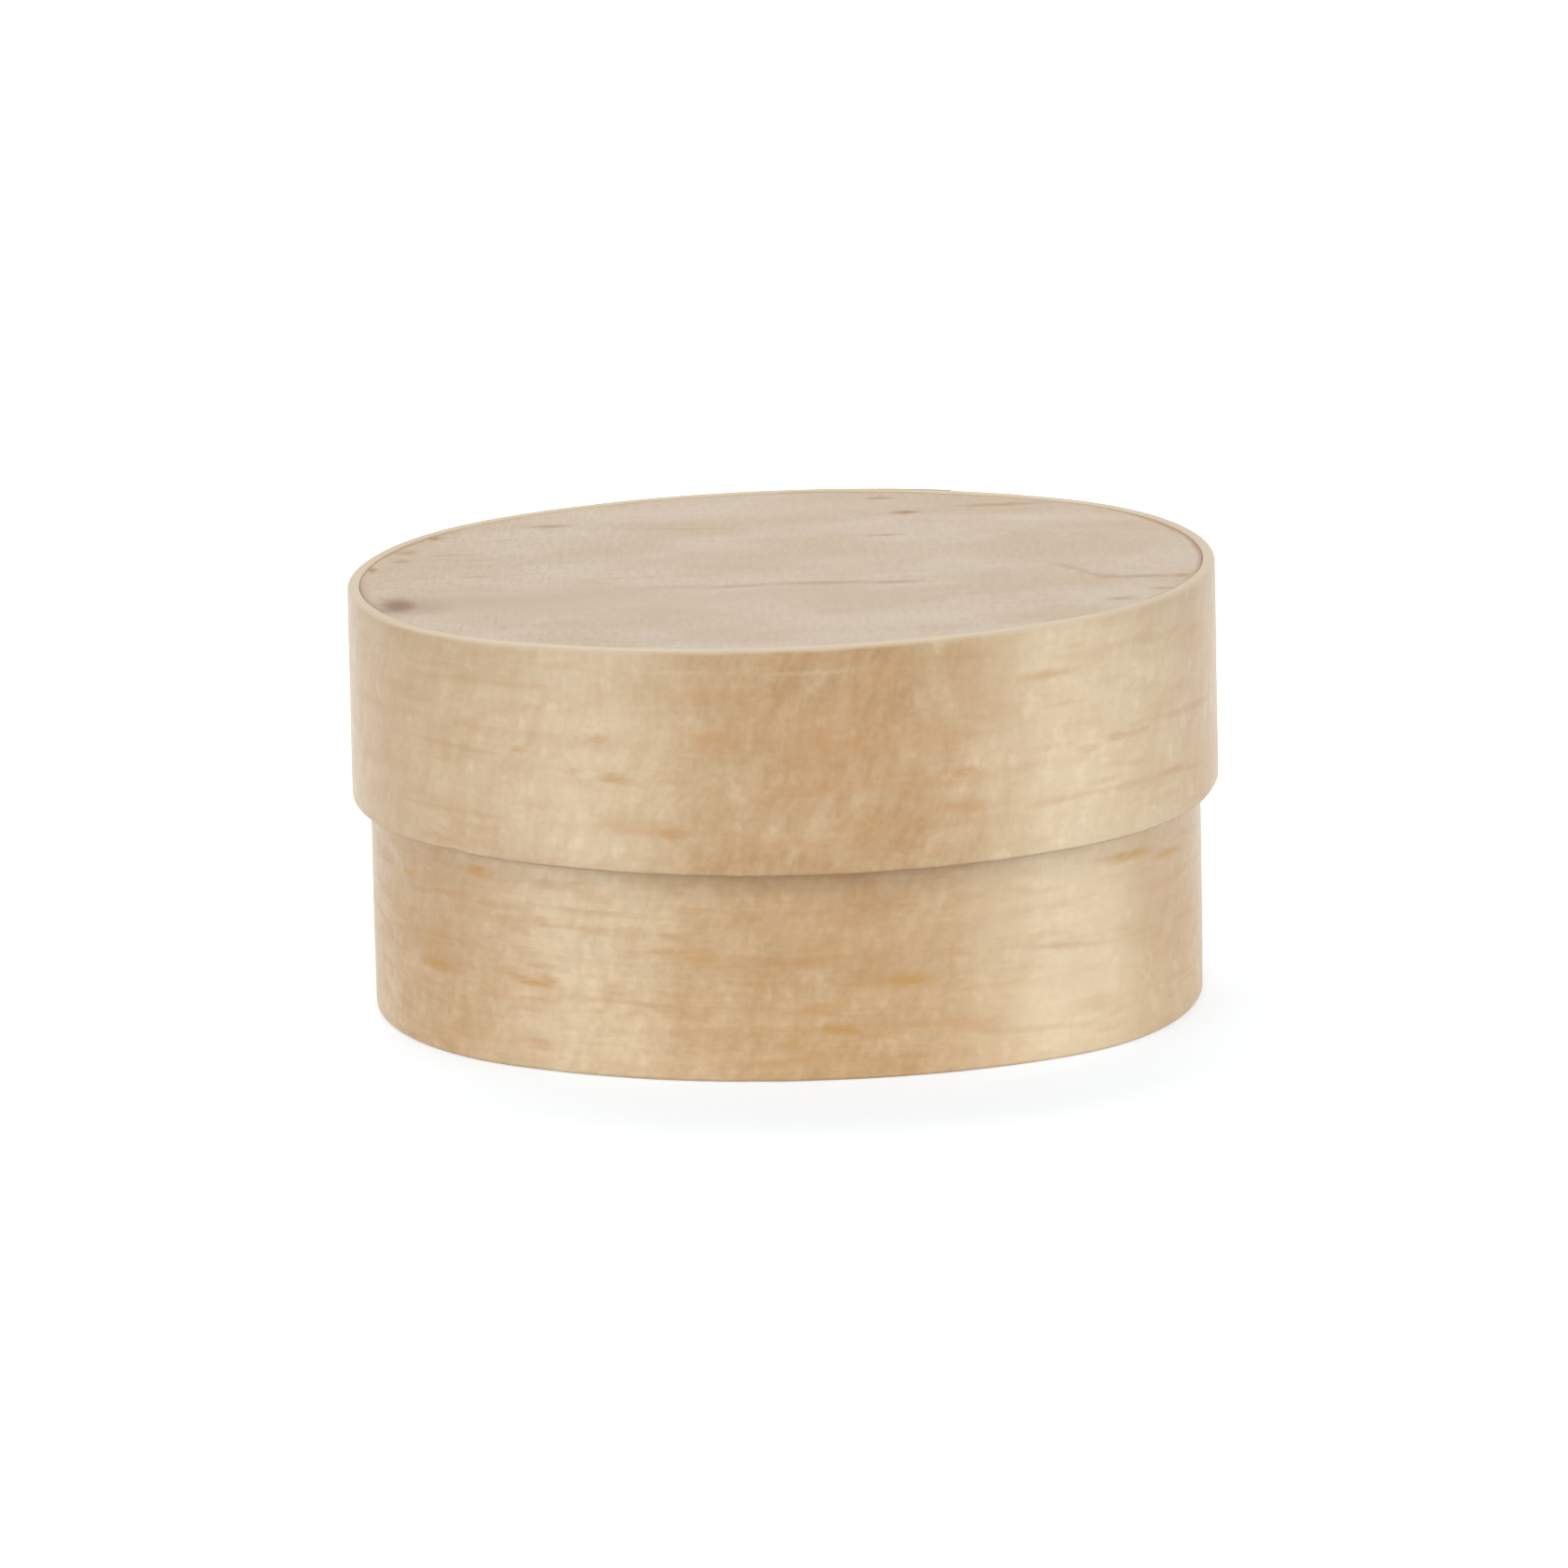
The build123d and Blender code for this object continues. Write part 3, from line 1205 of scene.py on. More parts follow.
@dataclass(frozen=True, kw_only=True)
class BoardFinish(WoodFinish):
    """The look of a flat board: long grain, thin streaks and stains, and a darker joint round its edge.

    The grain is coarser where x runs from coarse_at down to coarse_from, both in millimetres.
    """

    warm: Colour
    streak: Colour
    stain: Colour
    joint: Colour

    drift_cloud: Cloud = Cloud((60, 24, 30))
    wander: float = 6 * MM
    bands: float = 0.045
    band_cloud: Cloud = Cloud((70, 4.5, 8), 1, 3)
    fibre: float = 0.06
    fibre_cloud: Cloud = Cloud((11, 0.8, 0.8), 2, 2)
    rays: float = 0.09
    ray_cloud: Cloud = Cloud((0.7, 3.4, 3), 3, 2)
    speckle: float = 0.09
    speckle_cloud: Cloud = Cloud((0.5, 0.9, 0.6), 4)
    patch_cloud: Cloud = Cloud((18, 10, 20), 5, 3, (0.36, 0.64))
    tick_cloud: Cloud = Cloud((1.6, 0.5, 0.4), 6, 1, (0.66, 0.8))
    ticked_cloud: Cloud = Cloud((22, 12, 10), 7, 1, (0.45, 0.65))
    fewest_ticks: float = 0.05
    most_ticks: float = 0.3
    coarse_from: float = -40.0
    coarse_at: float = -8.0
    coarseness: float = 1.7

    mark_shake: Shake = Shake((1.2, 0.4, 0), (2.4, 1.0, 2))
    stain_softness: float = 0.85
    joint_softness: float = 0.6
    soaked_cloud: Cloud = Cloud((5, 5, 5), 8, 2)
    soaked_reach: float = 0.7 * MM
    joint_fade: tuple[float, float] = (-0.1 * MM, 0.5 * MM)
    joint_least: float = 0.1

    roughness: float = 0.5
    rough_swing: float = 0.12
    sheen: float = 0.5
    anisotropy: float = 0.5
    relief: float = 0.015 * MM
    band_relief: float = 0.4
    fibre_relief: float = 0.5

    def material(self) -> bpy.types.Material:
        """Put the finish together.

        Returns:
            The finished material.
        """
        bench = self.start()
        place = bench.add("ShaderNodeTexCoord").outputs["Object"]
        along, across, height = bench.parts(place)
        drifted = bench.maths("MULTIPLY_ADD", bench.cloud(place, self.drift_cloud), self.wander, across)
        bent = bench.join(along, drifted, height)
        bands = bench.cloud(bent, self.band_cloud)
        fibre = bench.cloud(bent, self.fibre_cloud)
        rays = bench.cloud(bent, self.ray_cloud)
        speckle = bench.cloud(place, self.speckle_cloud)

        colour = bench.mix(bench.patches(place, self.patch_cloud), self.wood, self.warm)
        clouds = ((bands, self.bands), (fibre, self.fibre), (rays, self.rays), (speckle, self.speckle))
        grain = bench.sway(*((cloud, 2 * amount) for cloud, amount in clouds))
        coarse = bench.ease(along, self.coarse_from * MM, self.coarse_at * MM, self.coarseness, 1.0)
        colour = bench.shade(colour, bench.maths("MULTIPLY_ADD", grain, coarse, 1.0))
        ticked = bench.patches(place, self.ticked_cloud, self.fewest_ticks, self.most_ticks)
        tick = bench.maths("MULTIPLY", bench.patches(bent, self.tick_cloud), ticked)
        colour = bench.mix(tick, colour, self.streak)

        shaken_along, shaken_across, _ = bench.parts(bench.shaken(place, self.mark_shake))
        spot = bench.join(shaken_along, shaken_across, 0.0)
        colour = bench.mix(self.drawn(bench, spot, MarkKind.PALE), colour, self.pale)
        colour = bench.mix(self.drawn(bench, spot, MarkKind.SHADE), colour, self.warm)
        stain = self.drawn(bench, spot, MarkKind.STAIN, softness=self.stain_softness)
        colour = bench.mix(stain, colour, self.stain)
        colour = bench.mix(self.drawn(bench, spot, MarkKind.STREAK, MarkKind.FLECK), colour, self.streak)
        colour = self.dark_joint(bench, colour, place)
        height = bench.total((bands, self.band_relief), (fibre, self.fibre_relief))
        return self.sand(bench, colour, bands, height)

    def dark_joint(self, bench: Bench, colour: Socket, place: Socket) -> Socket:
        """Darken the joint round the edge, most where the marks say that glue has soaked in.

        Args:
            bench: The material being put together.
            colour: The colour so far.
            place: The place on the board.

        Returns:
            The new colour's socket.
        """
        along, across, _ = bench.parts(place)
        distance = bench.attribute(EDGE_DISTANCE).outputs["Fac"]
        soaked = bench.cloud(place, self.soaked_cloud)
        reach = bench.maths("MULTIPLY_ADD", soaked, -self.soaked_reach, distance)
        shown = bench.ease(reach, *self.joint_fade, 1.0, 0.0)
        dark = self.drawn(bench, bench.join(along, across, 0.0), MarkKind.JOINT, softness=self.joint_softness)
        strength = bench.maths("MAXIMUM", dark, self.joint_least)
        return bench.mix(bench.maths("MULTIPLY", shown, strength), colour, self.joint)


@dataclass(frozen=True)
class GlueFinish:
    """Dry wood glue, amber and a little glossy."""

    name: str
    clear: Colour = tone(196, 160, 112)
    thick: Colour = tone(168, 126, 80)
    lump_cloud: Cloud = Cloud((2.5, 2.5, 2.5), 3, 2, (0.35, 0.65))
    smoothest: float = 0.2
    rough_swing: float = 0.3

    def material(self) -> bpy.types.Material:
        """Put the finish together.

        Returns:
            The finished material.
        """
        bench = Bench(bpy.data.materials.new(self.name))
        place = bench.add("ShaderNodeTexCoord").outputs["Object"]
        lumps = bench.cloud(place, self.lump_cloud)
        surface = {
            "Base Color": bench.mix(bench.ease(lumps, *self.lump_cloud.fade), self.clear, self.thick),
            "Roughness": bench.maths("MULTIPLY_ADD", lumps, self.rough_swing, self.smoothest),
        }
        return bench.finish(bench.add("ShaderNodeBsdfPrincipled", surface).outputs[0])


def fit(piece: Piece, material: bpy.types.Material, body: Body, node: str | None = None) -> None:
    """Dress a finished piece and fit it to its body.

    Args:
        piece: The piece.
        material: Its finish.
        body: The body it rides on.
        node: The CAD node that it stands for, if any.
    """
    piece.data.materials.clear()
    piece.data.materials.append(material)
    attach(piece, body.value)
    if node:
        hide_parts(node)
    log.info("%s: %d faces on %s", piece.name, len(piece.data.polygons), body.value)


LID_FINISH = VeneerFinish(
    name="lid_bent_veneer",
    wood=tone(193, 156, 111),
    pale=tone(226, 202, 164),
    line=tone(196, 148, 96),
    fleck=tone(194, 142, 80),
    # Partly the sanded end grain's colour, partly a painted highlight along the rim
    rim=tone(212, 193, 163),
    # The brown of the painted shade along the lid's lower edge
    shaded_foot_colour=tone(150, 108, 70),
    line_spacing=5.4,
    line_offset=30.4,
    seed=3.0,
    # Painted shade, darker towards the top of the lid
    light_by_height=((26, 1.02), (36, 1.01), (44, 0.985), (53, 0.92)),
    # Painted sheen at about -25 and 33 along, painted shade in the middle of the front, and the wood's own
    # tone round the back
    pale_tone_and_sheen=(
        (-169, 0.55), (-120, 0.42), (-90, 0.65), (-62, 0.5), (-54, 0.46), (-45, 0.58), (-36, 0.48),
        (-25, 0.74), (-17, 0.56), (-8, 0.1), (0, 0.03), (12, 0.03), (20, 0.28), (27, 0.52), (33, 0.94),
        (42, 0.86), (50, 0.72), (57, 0.42), (66, 0.32), (95, 0.42), (120, 0.65), (147, 0.48),
    ),
    figure=(
        (-169, 1.0), (-62, 1.0), (-20, 1.0), (-9, 1.4), (4, 1.6), (20, 1.5), (28, 0.85), (60, 0.75),
        (147, 1.0),
    ),
    marks={
        MarkKind.FLECK: (
            Mark(-32.8, 40.9, 1.2, 0.7, 0.6), Mark(-22.6, 43.0, 1.5, 0.65, 0.6),
            Mark(-20.4, 38.3, 2.3, 0.7, 0.8), Mark(-25.7, 38.8, 1.3, 0.6, 0.5),
            Mark(-12.9, 38.2, 2.4, 0.48, 0.3), Mark(-13.4, 31.9, 2.4, 0.65, 0.75),
            Mark(-8.6, 43.6, 2.6, 0.75, 0.5), Mark(3.3, 43.4, 2.5, 1.12, 0.3),
            Mark(1.7, 37.4, 2.5, 0.8, 0.25), Mark(14.8, 32.8, 1.6, 0.56, 0.4),
            Mark(21.3, 38.0, 2.1, 0.6, 0.7), Mark(32.0, 48.0, 4.2, 0.6, 0.5, 1.5),
            Mark(33.0, 39.4, 3.0, 0.5, 0.2), Mark(37.6, 38.5, 1.7, 0.55, 0.5, 1),
            Mark(41.6, 39.2, 1.5, 0.6, 0.6, 1), Mark(57.2, 48.6, 3.0, 0.7, 0.5),
            Mark(59.0, 39.2, 2.7, 0.56, 0.35), Mark(52.0, 33.0, 2.5, 0.56, 0.35),
        ),
        MarkKind.SHADE: (
            Mark(-55.0, 42.0, 15.0, 18.0, 0.22), Mark(-33.2, 48.8, 6.0, 0.45, 0.4),
            Mark(-48.5, 45.2, 5.0, 0.5, 0.45), Mark(-43.0, 40.3, 9.0, 0.55, 0.45, -1.5),
            Mark(-47.0, 32.0, 11.0, 0.5, 0.35, 1), Mark(-37.3, 32.2, 3.0, 0.4, 0.4),
            Mark(-45.0, 28.4, 3.4, 0.5, 0.4), Mark(2.0, 52.3, 11.0, 0.7, 0.4),
            Mark(-7.4, 43.6, 5.0, 1.6, 0.3), Mark(4.0, 45.0, 7.0, 3.2, 0.3),
            Mark(11.0, 42.0, 8.0, 4.0, 0.15), Mark(8.0, 37.2, 9.0, 0.9, 0.3),
            Mark(62.0, 31.0, 9.0, 6.0, 0.3), Mark(19.8, 34.0, 3.0, 0.5, 0.35),
            Mark(40.3, 34.3, 2.6, 0.4, 0.3), Mark(58.0, 47.0, 4.0, 1.8, 0.25),
            Mark(56.5, 39.4, 8.5, 0.55, 0.5, -3), Mark(45.0, 39.1, 3.4, 0.5, 0.35),
            Mark(33.0, 33.0, 5.5, 0.45, 0.3, 3), Mark(44.0, 33.1, 7.0, 0.5, 0.35, -1),
            Mark(55.5, 32.3, 8.0, 0.55, 0.45, -8), Mark(59.0, 27.8, 5.0, 0.6, 0.5, -10),
            # Painted shade: the marks at -9 and 22.5 along, near the top, widen the painted dark middle of
            # the front upwards
            Mark(34.5, 44.3, 3.2, 0.4, 0.25), Mark(-9.0, 49.2, 8.0, 2.4, 0.2),
            Mark(22.5, 49.0, 5.0, 5.0, 0.25), Mark(12.0, 50.6, 3.6, 1.8, 0.4),
        ),
        MarkKind.PALE: (
            Mark(-28.2, 46.4, 0.9, 0.8, 0.7), Mark(-26.0, 36.0, 1.4, 1.4, 0.55),
            Mark(-25.0, 32.6, 2.2, 1.2, 0.4), Mark(-21.0, 40.6, 3.4, 0.9, 0.35),
            Mark(35.0, 35.0, 5.0, 3.4, 0.4), Mark(-12.0, 51.2, 5.0, 0.35, 0.22),
            Mark(2.0, 50.9, 6.0, 0.35, 0.25),
        ),
    },
)

BASE_FINISH = VeneerFinish(
    name="base_bent_veneer",
    wood=tone(198, 161, 115),
    pale=tone(227, 202, 164),
    line=tone(193, 144, 88),
    fleck=tone(201, 149, 70),
    # Partly the sanded end grain's colour, partly a painted highlight along the rim
    rim=tone(216, 194, 164),
    # The brown of the painted shade along the base's foot
    shaded_foot_colour=tone(150, 104, 62),
    line_spacing=4.4,
    line_offset=5.2,
    seed=11.0,
    # Partly sanded end grain, partly a painted highlight along the base's rim
    rim_tone_and_highlight=0.5,
    # Faint painted shade along the base's foot
    foot_shading=0.15,
    warmth=0.45,
    fibre=0.08,
    speckle=0.13,
    patch=0.75,
    # Painted light, brighter towards the base's foot
    light_by_height=((0, 1.16), (7, 1.12), (15, 1.05), (24, 1.01), (52, 1.0)),
    # Painted sheen at about -28 and 35 along, painted shade in the middle of the front, and the wood's own
    # tone round the back
    pale_tone_and_sheen=(
        (-142, 0.5), (-105, 0.3), (-80, 0.55), (-60, 0.46), (-52, 0.24), (-44, 0.2), (-36, 0.34),
        (-28, 0.76), (-20, 0.64), (-12, 0.3), (-3, 0.08), (8, 0.0), (17, 0.12), (25, 0.54), (32, 1.02),
        (40, 1.0), (48, 0.5), (58, 0.36), (80, 0.5), (110, 0.3), (135, 0.6), (160, 0.45),
    ),
    figure=(
        (-142, 1.0), (-62, 1.15), (-30, 1.05), (-12, 1.15), (16, 1.1), (26, 0.6), (46, 0.4), (58, 0.7),
        (160, 1.0),
    ),
    marks={
        MarkKind.FLECK: (
            Mark(-38.9, 24.1, 2.2, 0.75, 1.0), Mark(-51.2, 21.4, 1.6, 0.75, 0.7),
            Mark(-46.0, 11.1, 2.9, 0.8, 1.0, -3), Mark(-47.4, 13.6, 2.6, 0.7, 0.55),
            Mark(-32.0, 11.2, 3.6, 0.55, 0.9, -8), Mark(-29.6, 11.4, 1.4, 0.8, 0.7, -8),
            Mark(-25.4, 24.2, 1.0, 0.4, 0.3), Mark(-23.3, 8.3, 0.8, 0.48, 0.4),
            Mark(-11.0, 15.6, 3.2, 0.8, 0.5), Mark(14.3, 12.0, 3.1, 0.95, 0.9, -2),
            Mark(5.6, 6.4, 2.9, 0.75, 0.85, -3), Mark(-0.5, 4.6, 1.6, 0.6, 0.55),
            Mark(44.2, 23.2, 4.4, 0.7, 0.9, -3), Mark(52.4, 21.6, 4.0, 0.7, 0.8, -6),
            Mark(46.1, 13.4, 2.7, 0.48, 0.25),
        ),
        MarkKind.SHADE: (
            Mark(-53.0, 15.0, 16.0, 12.0, 0.25), Mark(-36.5, 20.2, 5.4, 0.6, 0.5),
            Mark(-24.8, 20.6, 9.0, 0.5, 0.35, -2), Mark(-46.0, 20.4, 8.0, 0.6, 0.5, 6),
            Mark(-46.0, 12.0, 7.0, 2.4, 0.45), Mark(-33.0, 11.6, 6.0, 1.0, 0.35, -8),
            Mark(-42.0, 3.6, 12.0, 1.6, 0.3, 2), Mark(-20.0, 9.6, 10.0, 0.4, 0.3, -2),
            Mark(29.0, 4.4, 13.0, 0.5, 0.2, -4), Mark(2.0, 15.2, 13.0, 1.1, 0.5),
            Mark(12.0, 12.6, 7.0, 1.4, 0.5), Mark(34.0, 14.0, 8.0, 0.5, 0.3, -6),
            Mark(54.0, 14.0, 7.0, 8.0, 0.25), Mark(-6.0, 24.6, 14.0, 1.6, 0.15),
        ),
        MarkKind.PALE: (
            Mark(37.0, 21.6, 3.6, 2.0, 0.35), Mark(36.5, 9.6, 4.0, 3.0, 0.35),
            Mark(-23.0, 22.8, 6.0, 2.0, 0.25), Mark(-30.0, 6.4, 3.2, 1.2, 0.6, 40),
            Mark(-22.4, 15.6, 1.2, 0.9, 0.5),
        ),
    },
)

TOP_FINISH = BoardFinish(
    name="top_board_wood",
    wood=tone(206, 187, 165),
    warm=tone(199, 176, 148),
    streak=tone(152, 108, 54),
    stain=tone(112, 64, 22),
    pale=tone(216, 202, 182),
    joint=tone(152, 108, 66),
    seed=21.0,
    marks={
        MarkKind.STREAK: (
            Mark(-4.5, -7.4, 6.0, 1.0, 0.36, 4), Mark(5.0, -7.2, 6.5, 1.0, 0.44, -3),
            Mark(14.0, -8.0, 3.8, 1.0, 0.5), Mark(-12.5, -6.8, 4.5, 0.9, 0.22),
            Mark(27.8, 28.1, 5.6, 0.9, 0.5), Mark(36.0, 28.2, 5.0, 0.35, 0.22),
            Mark(-28.6, 24.8, 2.8, 0.8, 0.6), Mark(-11.0, 21.2, 9.0, 0.45, 0.24, -8),
            Mark(-40.6, 12.4, 3.2, 0.55, 0.35), Mark(-37.0, 1.2, 2.8, 0.5, 0.3),
            Mark(36.0, -5.0, 5.4, 0.8, 0.35, -52), Mark(43.4, -9.3, 5.4, 0.9, 0.46),
            Mark(48.2, -9.4, 1.8, 0.9, 0.55),
        ),
        MarkKind.FLECK: (
            Mark(15.7, 25.9, 2.0, 0.9, 0.9), Mark(12.6, 33.5, 1.8, 0.7, 0.65),
            Mark(12.8, 15.0, 2.6, 0.45, 0.5), Mark(39.6, -9.0, 1.6, 0.9, 0.45),
            Mark(40.6, -19.5, 2.2, 1.0, 0.5), Mark(45.8, -15.2, 1.7, 0.9, 0.4),
            Mark(49.0, 15.6, 1.0, 0.7, 0.5), Mark(-50.0, 6.3, 0.7, 1.4, 0.8),
            Mark(-46.0, 14.2, 1.4, 1.3, 0.55), Mark(-46.5, 10.0, 1.2, 1.1, 0.5),
            Mark(-42.8, 20.8, 0.9, 1.1, 0.8),
        ),
        MarkKind.STAIN: (
            Mark(-46.2, -11.3, 2.8, 3.8, 0.85, 8), Mark(-44.4, -11.8, 5.4, 4.0, 0.32),
            Mark(-36.0, -10.5, 12.0, 3.4, 0.08),
        ),
        MarkKind.SHADE: (
            Mark(-32.0, -12.0, 25.0, 8.0, 0.8), Mark(-46.0, 12.0, 8.0, 9.0, 0.5),
            Mark(-10.0, -13.0, 26.0, 4.0, 0.5),
        ),
        MarkKind.PALE: (
            Mark(34.0, 21.0, 18.0, 2.2, 0.45, -8), Mark(-8.0, 30.0, 24.0, 5.0, 0.35),
            Mark(12.0, 4.0, 16.0, 3.0, 0.2),
        ),
        MarkKind.JOINT: (
            Mark(51.0, 10.0, 12.0, 22.0, 0.55), Mark(43.0, -17.0, 6.0, 7.0, 0.5),
            Mark(-51.0, -7.0, 7.0, 9.0, 0.45), Mark(-44.0, 17.0, 9.0, 9.0, 0.35),
        ),
    },
)

BOTTOM_FINISH = BoardFinish(
    name="bottom_board_wood",
    wood=tone(206, 182, 152),
    warm=tone(200, 170, 134),
    streak=tone(150, 106, 70),
    stain=tone(150, 116, 84),
    pale=tone(216, 198, 172),
    joint=tone(160, 122, 84),
    seed=33.0,
    marks={
        MarkKind.STREAK: (
            Mark(12.0, 9.0, 9.0, 0.4, 0.45, 2), Mark(-24.0, -12.0, 7.0, 0.35, 0.4, -2),
        ),
        MarkKind.FLECK: (
            Mark(-8.0, 18.0, 1.8, 0.5, 0.6), Mark(30.0, -6.0, 2.2, 0.5, 0.5),
        ),
        MarkKind.PALE: (
            Mark(4.0, -20.0, 26.0, 3.0, 0.3),
        ),
        MarkKind.JOINT: (
            Mark(30.0, 20.0, 24.0, 18.0, 0.5), Mark(-36.0, -12.0, 18.0, 22.0, 0.6),
        ),
    },
)


@dataclass
class Sizes:
    """The sizes that both halves of the box share."""

    length: float = 106.0 * MM
    width: float = 78.4 * MM
    end_radius_share: float = 0.88
    veneer: float = 1.5 * MM
    slip: float = 0.7 * MM
    board_fit: float = 0.02 * MM
    lap: float = 22.0 * MM
    proud: float = 0.3 * MM
    film: float = 0.06 * MM
    rise: float = 0.014
    spread: float = 0.0026
    draw_in: float = 0.0065
    flare: float = 0.08
    bead: float = 0.34 * MM
    bead_corner_share: float = 0.05
    bead_face_share: float = 0.45

    @property
    def base_inset(self) -> float:
        """How far the base's outer face lies inside the lid's."""
        return self.veneer + self.slip

    def outline(self, inset: float) -> Oval:
        """Return the outline at an inset from the lid's outer face."""
        whole = Oval(self.length / 2, self.width / 2, self.width / 2 * self.end_radius_share)
        return whole.inset(inset)

    def strip(self, name: str, node: str, inset: float, lap_centre: float, **shape: object) -> Strip:
        """Return the strip for one band.

        Args:
            name: The new piece's name.
            node: The band's CAD node, which gives its heights.
            inset: How far its outer face lies inside the lid's.
            lap_centre: The middle of the lap, from the middle of the back.
            **shape: What else this strip has of its own.

        Returns:
            The strip, not yet made.
        """
        low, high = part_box(node)
        outline = self.outline(inset)
        half_way = outline.perimeter / 2
        return Strip(
            name=name,
            outline=outline,
            low=low.z,
            height=high.z - low.z,
            thickness=self.veneer,
            outer_tip=-half_way - lap_centre - self.lap / 2,
            inner_tip=half_way - lap_centre + self.lap / 2,
            lap=self.lap,
            proud=self.proud,
            film=self.film,
            **shape,
        )

    def board(self, name: str, node: str, inset: float, seed: float) -> Board:
        """Return the board, not yet made, that fits a band whose inner face lies at an inset."""
        low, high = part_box(node)
        return Board(name, self.outline(inset + self.board_fit), low.z, high.z - low.z, seed=seed)

    def glue_bead(self, name: str, inset: float, middle: float, share: float, seed: float) -> Bead:
        """Return a bead of glue for the corner between a band's inner face and a board.

        Args:
            name: The new piece's name.
            inset: How far the band's inner face lies inside the lid's outer face.
            middle: The height of the bead's middle.
            share: The bead's size as a share of the usual one.
            seed: Tells its unevenness from another's.

        Returns:
            The bead, not yet made.
        """
        size = share * self.bead
        outline = self.outline(inset - self.board_fit)
        return Bead(
            name=name,
            outline=outline,
            low=middle - size / 2,
            height=size,
            thickness=size,
            outer_tip=-outline.perimeter / 2,
            inner_tip=outline.perimeter / 2,
            outer_rounding=self.bead_corner_share * size,
            inner_rounding=self.bead_face_share * size,
            seed=seed,
        )

    def settle(self, piece: Piece) -> None:
        """Leave a piece as far from true as the handmade box.

        Its top rises to the right and is drawn in a little, and its foot flares at the right end.

        Args:
            piece: The finished piece.
        """
        height = cad_bounds[1].z
        for point in piece.data.vertices:
            share = (point.co.z / height) ** 2
            foot = max(0.0, 1 - point.co.z / height) ** 3
            rightwards = max(0.0, point.co.x / (self.length / 2)) ** 2
            point.co.z += self.rise * share * point.co.x
            point.co.y *= 1 + self.flare * foot * rightwards
            point.co.x *= 1 + self.spread - self.draw_in * share


@dataclass
class Half:
    """What both halves of the box have: a bent band, a board glued inside it, and a bead of the glue."""

    sizes: Sizes = field(default_factory=Sizes)
    band: Piece | None = None
    board: Piece | None = None
    bead: Piece | None = None

    def settle(self) -> None:
        """Leave the three pieces as far from true as the handmade box."""
        for piece in (self.band, self.board, self.bead):
            self.sizes.settle(piece)


@dataclass
class Base(Half):
    """The lower half: a bent band with a board glued inside its foot."""

    lap_centre: float = -9.0 * MM
    bead_lift: float = 0.1 * MM
    bead_share: float = 1.0

    def build(self) -> None:
        """Build the band, the bottom board and the glue bead in the corner between them."""
        outer = self.sizes.base_inset
        inner = outer + self.sizes.veneer
        self.band = self.sizes.strip("base_bent_band", "base_band", outer, self.lap_centre, seed=5.0).make()
        self.board = self.sizes.board("base_bottom_board", "bottom_board", inner, seed=2.0).make()
        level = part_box("bottom_board")[1].z + self.bead_lift
        self.bead = self.sizes.glue_bead("base_glue_bead", inner, level, self.bead_share, seed=14.0).make()
        self.settle()

    def dress(self) -> None:
        """Give the pieces their finish and fit them to the base."""
        low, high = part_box("base_band")
        fit(self.band, BASE_FINISH.material(low.z, high.z), Body.BASE, "base_band")
        fit(self.board, BOTTOM_FINISH.material(), Body.BASE, "bottom_board")
        fit(self.bead, GlueFinish("base_dry_glue").material(), Body.BASE)


@dataclass
class Lid(Half):
    """The upper half: a bent band that slips over the base, with a board glued inside its top."""

    lap_centre: float = 11.0 * MM
    nicks: tuple[Nick, ...] = (Nick(-42.3 * MM, 1.3 * MM, 0.35 * MM), Nick(96.0 * MM, 0.9 * MM, 0.2 * MM))
    belly: float = 0.32 * MM
    lean: float = 1.1 * MM
    bead_drop: float = 0.05 * MM
    bead_share: float = 0.75

    def build(self) -> None:
        """Build the band, the top board and the glue bead in the corner under it."""
        inner = self.sizes.veneer
        edge_wobble = {"nicks": self.nicks, "belly": self.belly, "lean": self.lean, "seed": 9.0}
        self.band = self.sizes.strip("lid_bent_band", "lid_band", 0.0, self.lap_centre, **edge_wobble).make()
        self.board = self.sizes.board("lid_top_board", "top_board", inner, seed=4.0).make()
        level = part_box("top_board")[0].z - self.bead_drop
        self.bead = self.sizes.glue_bead("lid_glue_bead", inner, level, self.bead_share, seed=19.0).make()
        self.settle()

    def dress(self) -> None:
        """Give the pieces their finish and fit them to the lid."""
        low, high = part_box("lid_band")
        fit(self.band, LID_FINISH.material(low.z, high.z), Body.LID, "lid_band")
        fit(self.board, TOP_FINISH.material(), Body.LID, "top_board")
        fit(self.bead, GlueFinish("lid_dry_glue").material(), Body.LID)


@dataclass(frozen=True)
class SoftBox:
    """A soft lamp that faces the box: its angles from the front and the floor, distance, size and power."""

    name: str
    around: float
    above: float
    away: float
    width: float
    height: float
    power: float

    def hang(self, target: Vector) -> None:
        """Hang the lamp so that it faces a place.

        Args:
            target: The place to light.
        """
        around, above = math.radians(self.around), math.radians(self.above)
        level = math.cos(above)
        direction = Vector((math.sin(around) * level, -math.cos(around) * level, math.sin(above)))
        bpy.ops.object.light_add(type="AREA", location=target + self.away * direction)
        lamp = bpy.context.object
        lamp.name = self.name
        lamp.rotation_euler = direction.to_track_quat("Z", "Y").to_euler()
        lamp.data.shape = "RECTANGLE"
        lamp.data.size = self.width
        lamp.data.size_y = self.height
        lamp.data.energy = self.power


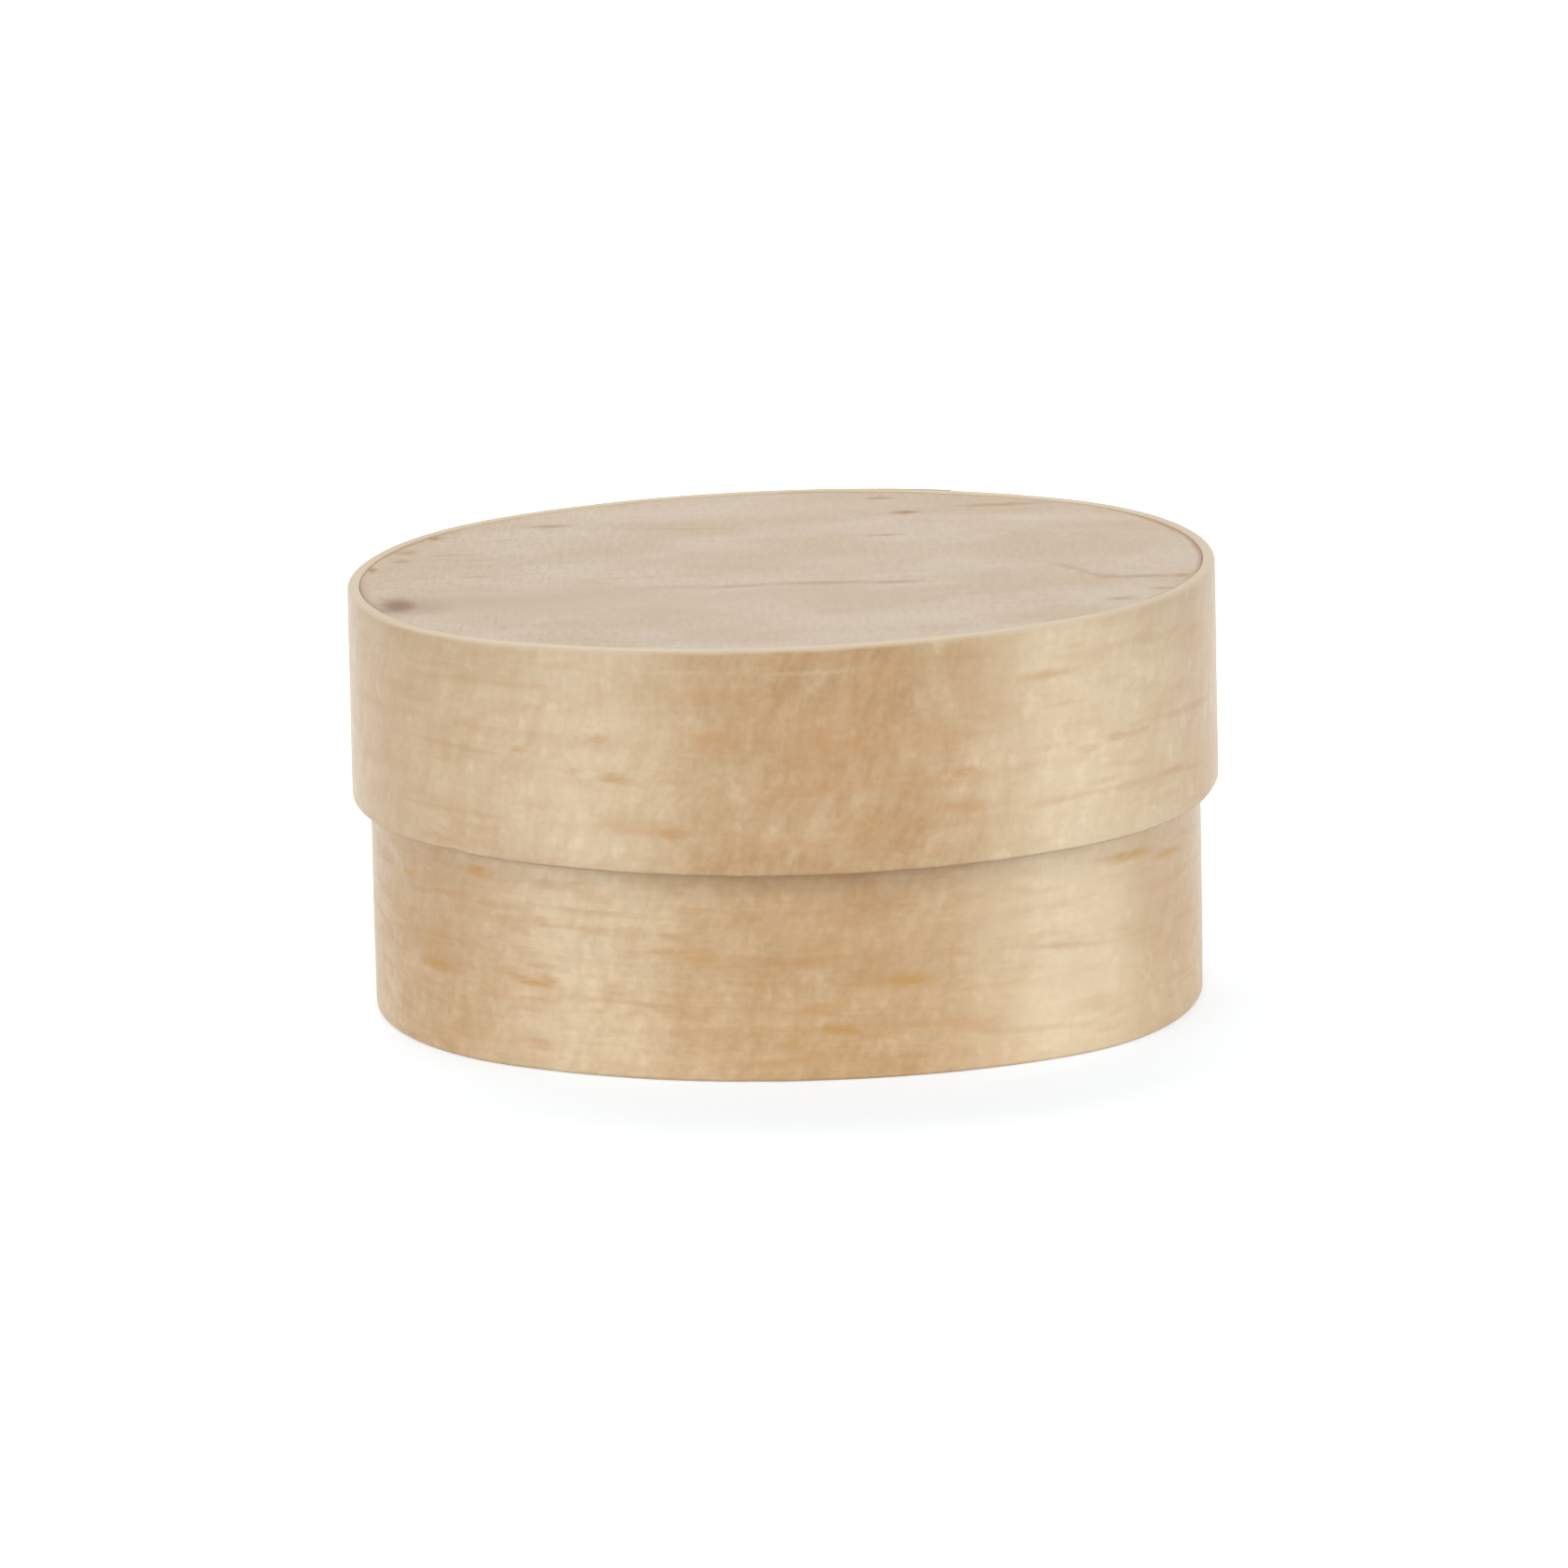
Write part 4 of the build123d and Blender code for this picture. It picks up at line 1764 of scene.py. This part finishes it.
@dataclass
class Studio:
    """A white floor, a white surround, soft lamps, and the camera where the photograph was taken.

    The camera's focal length is given in the photograph's pixels, its pitch and roll in radians.
    """

    frame_width: float = 1680.0
    focal_pixels: float = 9202.0
    sensor: float = 36.0
    pitch: float = 0.28021
    roll: float = 0.02117
    distance: float = 1060.0 * MM
    aim_right: float = -0.712 * MM
    aim_up: float = 25.364 * MM
    nearest: float = 10 * MM
    floor_size: float = 8.0
    surround: float = 0.3
    floor_colour: Colour = (0.63, 0.69, 0.74, 1.0)
    floor_lift: float = 0.5
    floor_stretch: Triple = (1.0, 1.35, 1.0)
    white_from: float = 65 * MM
    white_at: float = 140 * MM
    soft_boxes: tuple[SoftBox, ...] = (
        SoftBox("left_soft_box", -48, 15, 1.2, 0.8, 0.6, 5.0),
        SoftBox("right_soft_box", 58, 15, 1.2, 0.8, 0.6, 5.1),
        SoftBox("front_soft_box", 4, 48, 1.4, 0.6, 0.4, 3.0),
        SoftBox("back_soft_box", -168, 58, 1.2, 1.0, 0.8, 6.3),
    )

    def build(self) -> None:
        """Set up the floor, the surround, the lamps and the camera."""
        self.lay_floor()
        self.light_surround()
        middle = sum(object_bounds(), Vector()) / 2
        for soft_box in self.soft_boxes:
            soft_box.hang(middle)
        self.place_camera()

    def lay_floor(self) -> None:
        """Lay a wide pale floor that shows the box's shadow and nothing else."""
        bpy.ops.object.select_all(action="DESELECT")
        bpy.ops.mesh.primitive_plane_add(size=self.floor_size, location=(0, 0, -NEAR))
        floor = bpy.context.object
        floor.name = "floor"
        bench = Bench(bpy.data.materials.new("floor"))
        rays = bench.add("ShaderNodeLightPath").outputs
        seen = bench.maths("MAXIMUM", rays["Is Camera Ray"], rays["Is Glossy Ray"])
        place = bench.add("ShaderNodeTexCoord").outputs["Object"]
        away = bench.vector_maths("LENGTH", bench.vector_maths("MULTIPLY", place, self.floor_stretch))
        lift = bench.ease(away, self.white_from, self.white_at, self.floor_lift, 1.0)
        strength = bench.maths("MULTIPLY", seen, lift)
        paint = bench.add("ShaderNodeBsdfDiffuse", {"Color": self.floor_colour})
        glow = bench.add("ShaderNodeEmission", {"Color": WHITE, "Strength": strength})
        both = bench.add("ShaderNodeAddShader", (paint.outputs[0], glow.outputs[0]))
        floor.data.materials.append(bench.finish(both.outputs[0]))
        floor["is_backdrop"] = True

    def light_surround(self) -> None:
        """Make the surround white where it is seen, and a plain soft light elsewhere."""
        world = bpy.data.worlds.new("surround")
        bpy.context.scene.world = world
        bench = Bench(world)
        rays = bench.add("ShaderNodeLightPath").outputs
        through = bench.maths("MAXIMUM", rays["Is Glossy Ray"], rays["Is Transmission Ray"])
        seen = bench.maths("MAXIMUM", rays["Is Camera Ray"], through)
        soft = bench.add("ShaderNodeBackground", {"Color": WHITE, "Strength": self.surround})
        white = bench.add("ShaderNodeBackground", {"Color": WHITE, "Strength": 1.0})
        choice = bench.add("ShaderNodeMixShader", (seen, soft.outputs[0], white.outputs[0]))
        bench.finish(choice.outputs[0], "ShaderNodeOutputWorld")

    def place_camera(self) -> None:
        """Place the camera as the photograph's outlines give it: pitch, slight roll, distance and aim."""
        forward = Vector((0, math.cos(self.pitch), -math.sin(self.pitch)))
        level_up = Vector((0, math.sin(self.pitch), math.cos(self.pitch)))
        level_right = Vector((1, 0, 0))
        right = math.cos(self.roll) * level_right - math.sin(self.roll) * level_up
        up = math.sin(self.roll) * level_right + math.cos(self.roll) * level_up
        place = self.aim_right * right + self.aim_up * up - self.distance * forward
        bpy.ops.object.camera_add()
        camera = bpy.context.object
        camera.name = "camera"
        for column, axis in enumerate((right, up, -forward, place)):
            for row in range(3):
                camera.matrix_world[row][column] = axis[row]
        camera.data.sensor_width = self.sensor
        camera.data.lens = self.sensor * self.focal_pixels / self.frame_width
        camera.data.clip_start = self.nearest
        bpy.context.scene.camera = camera
        bpy.context.scene.view_settings.view_transform = "Standard"


def main() -> None:
    """Build the box and its studio."""
    logging.basicConfig(level=logging.INFO, format="%(message)s")
    Studio().build()
    for half in (Base(), Lid()):
        half.build()
        half.dress()


if __name__ == "__main__":
    main()
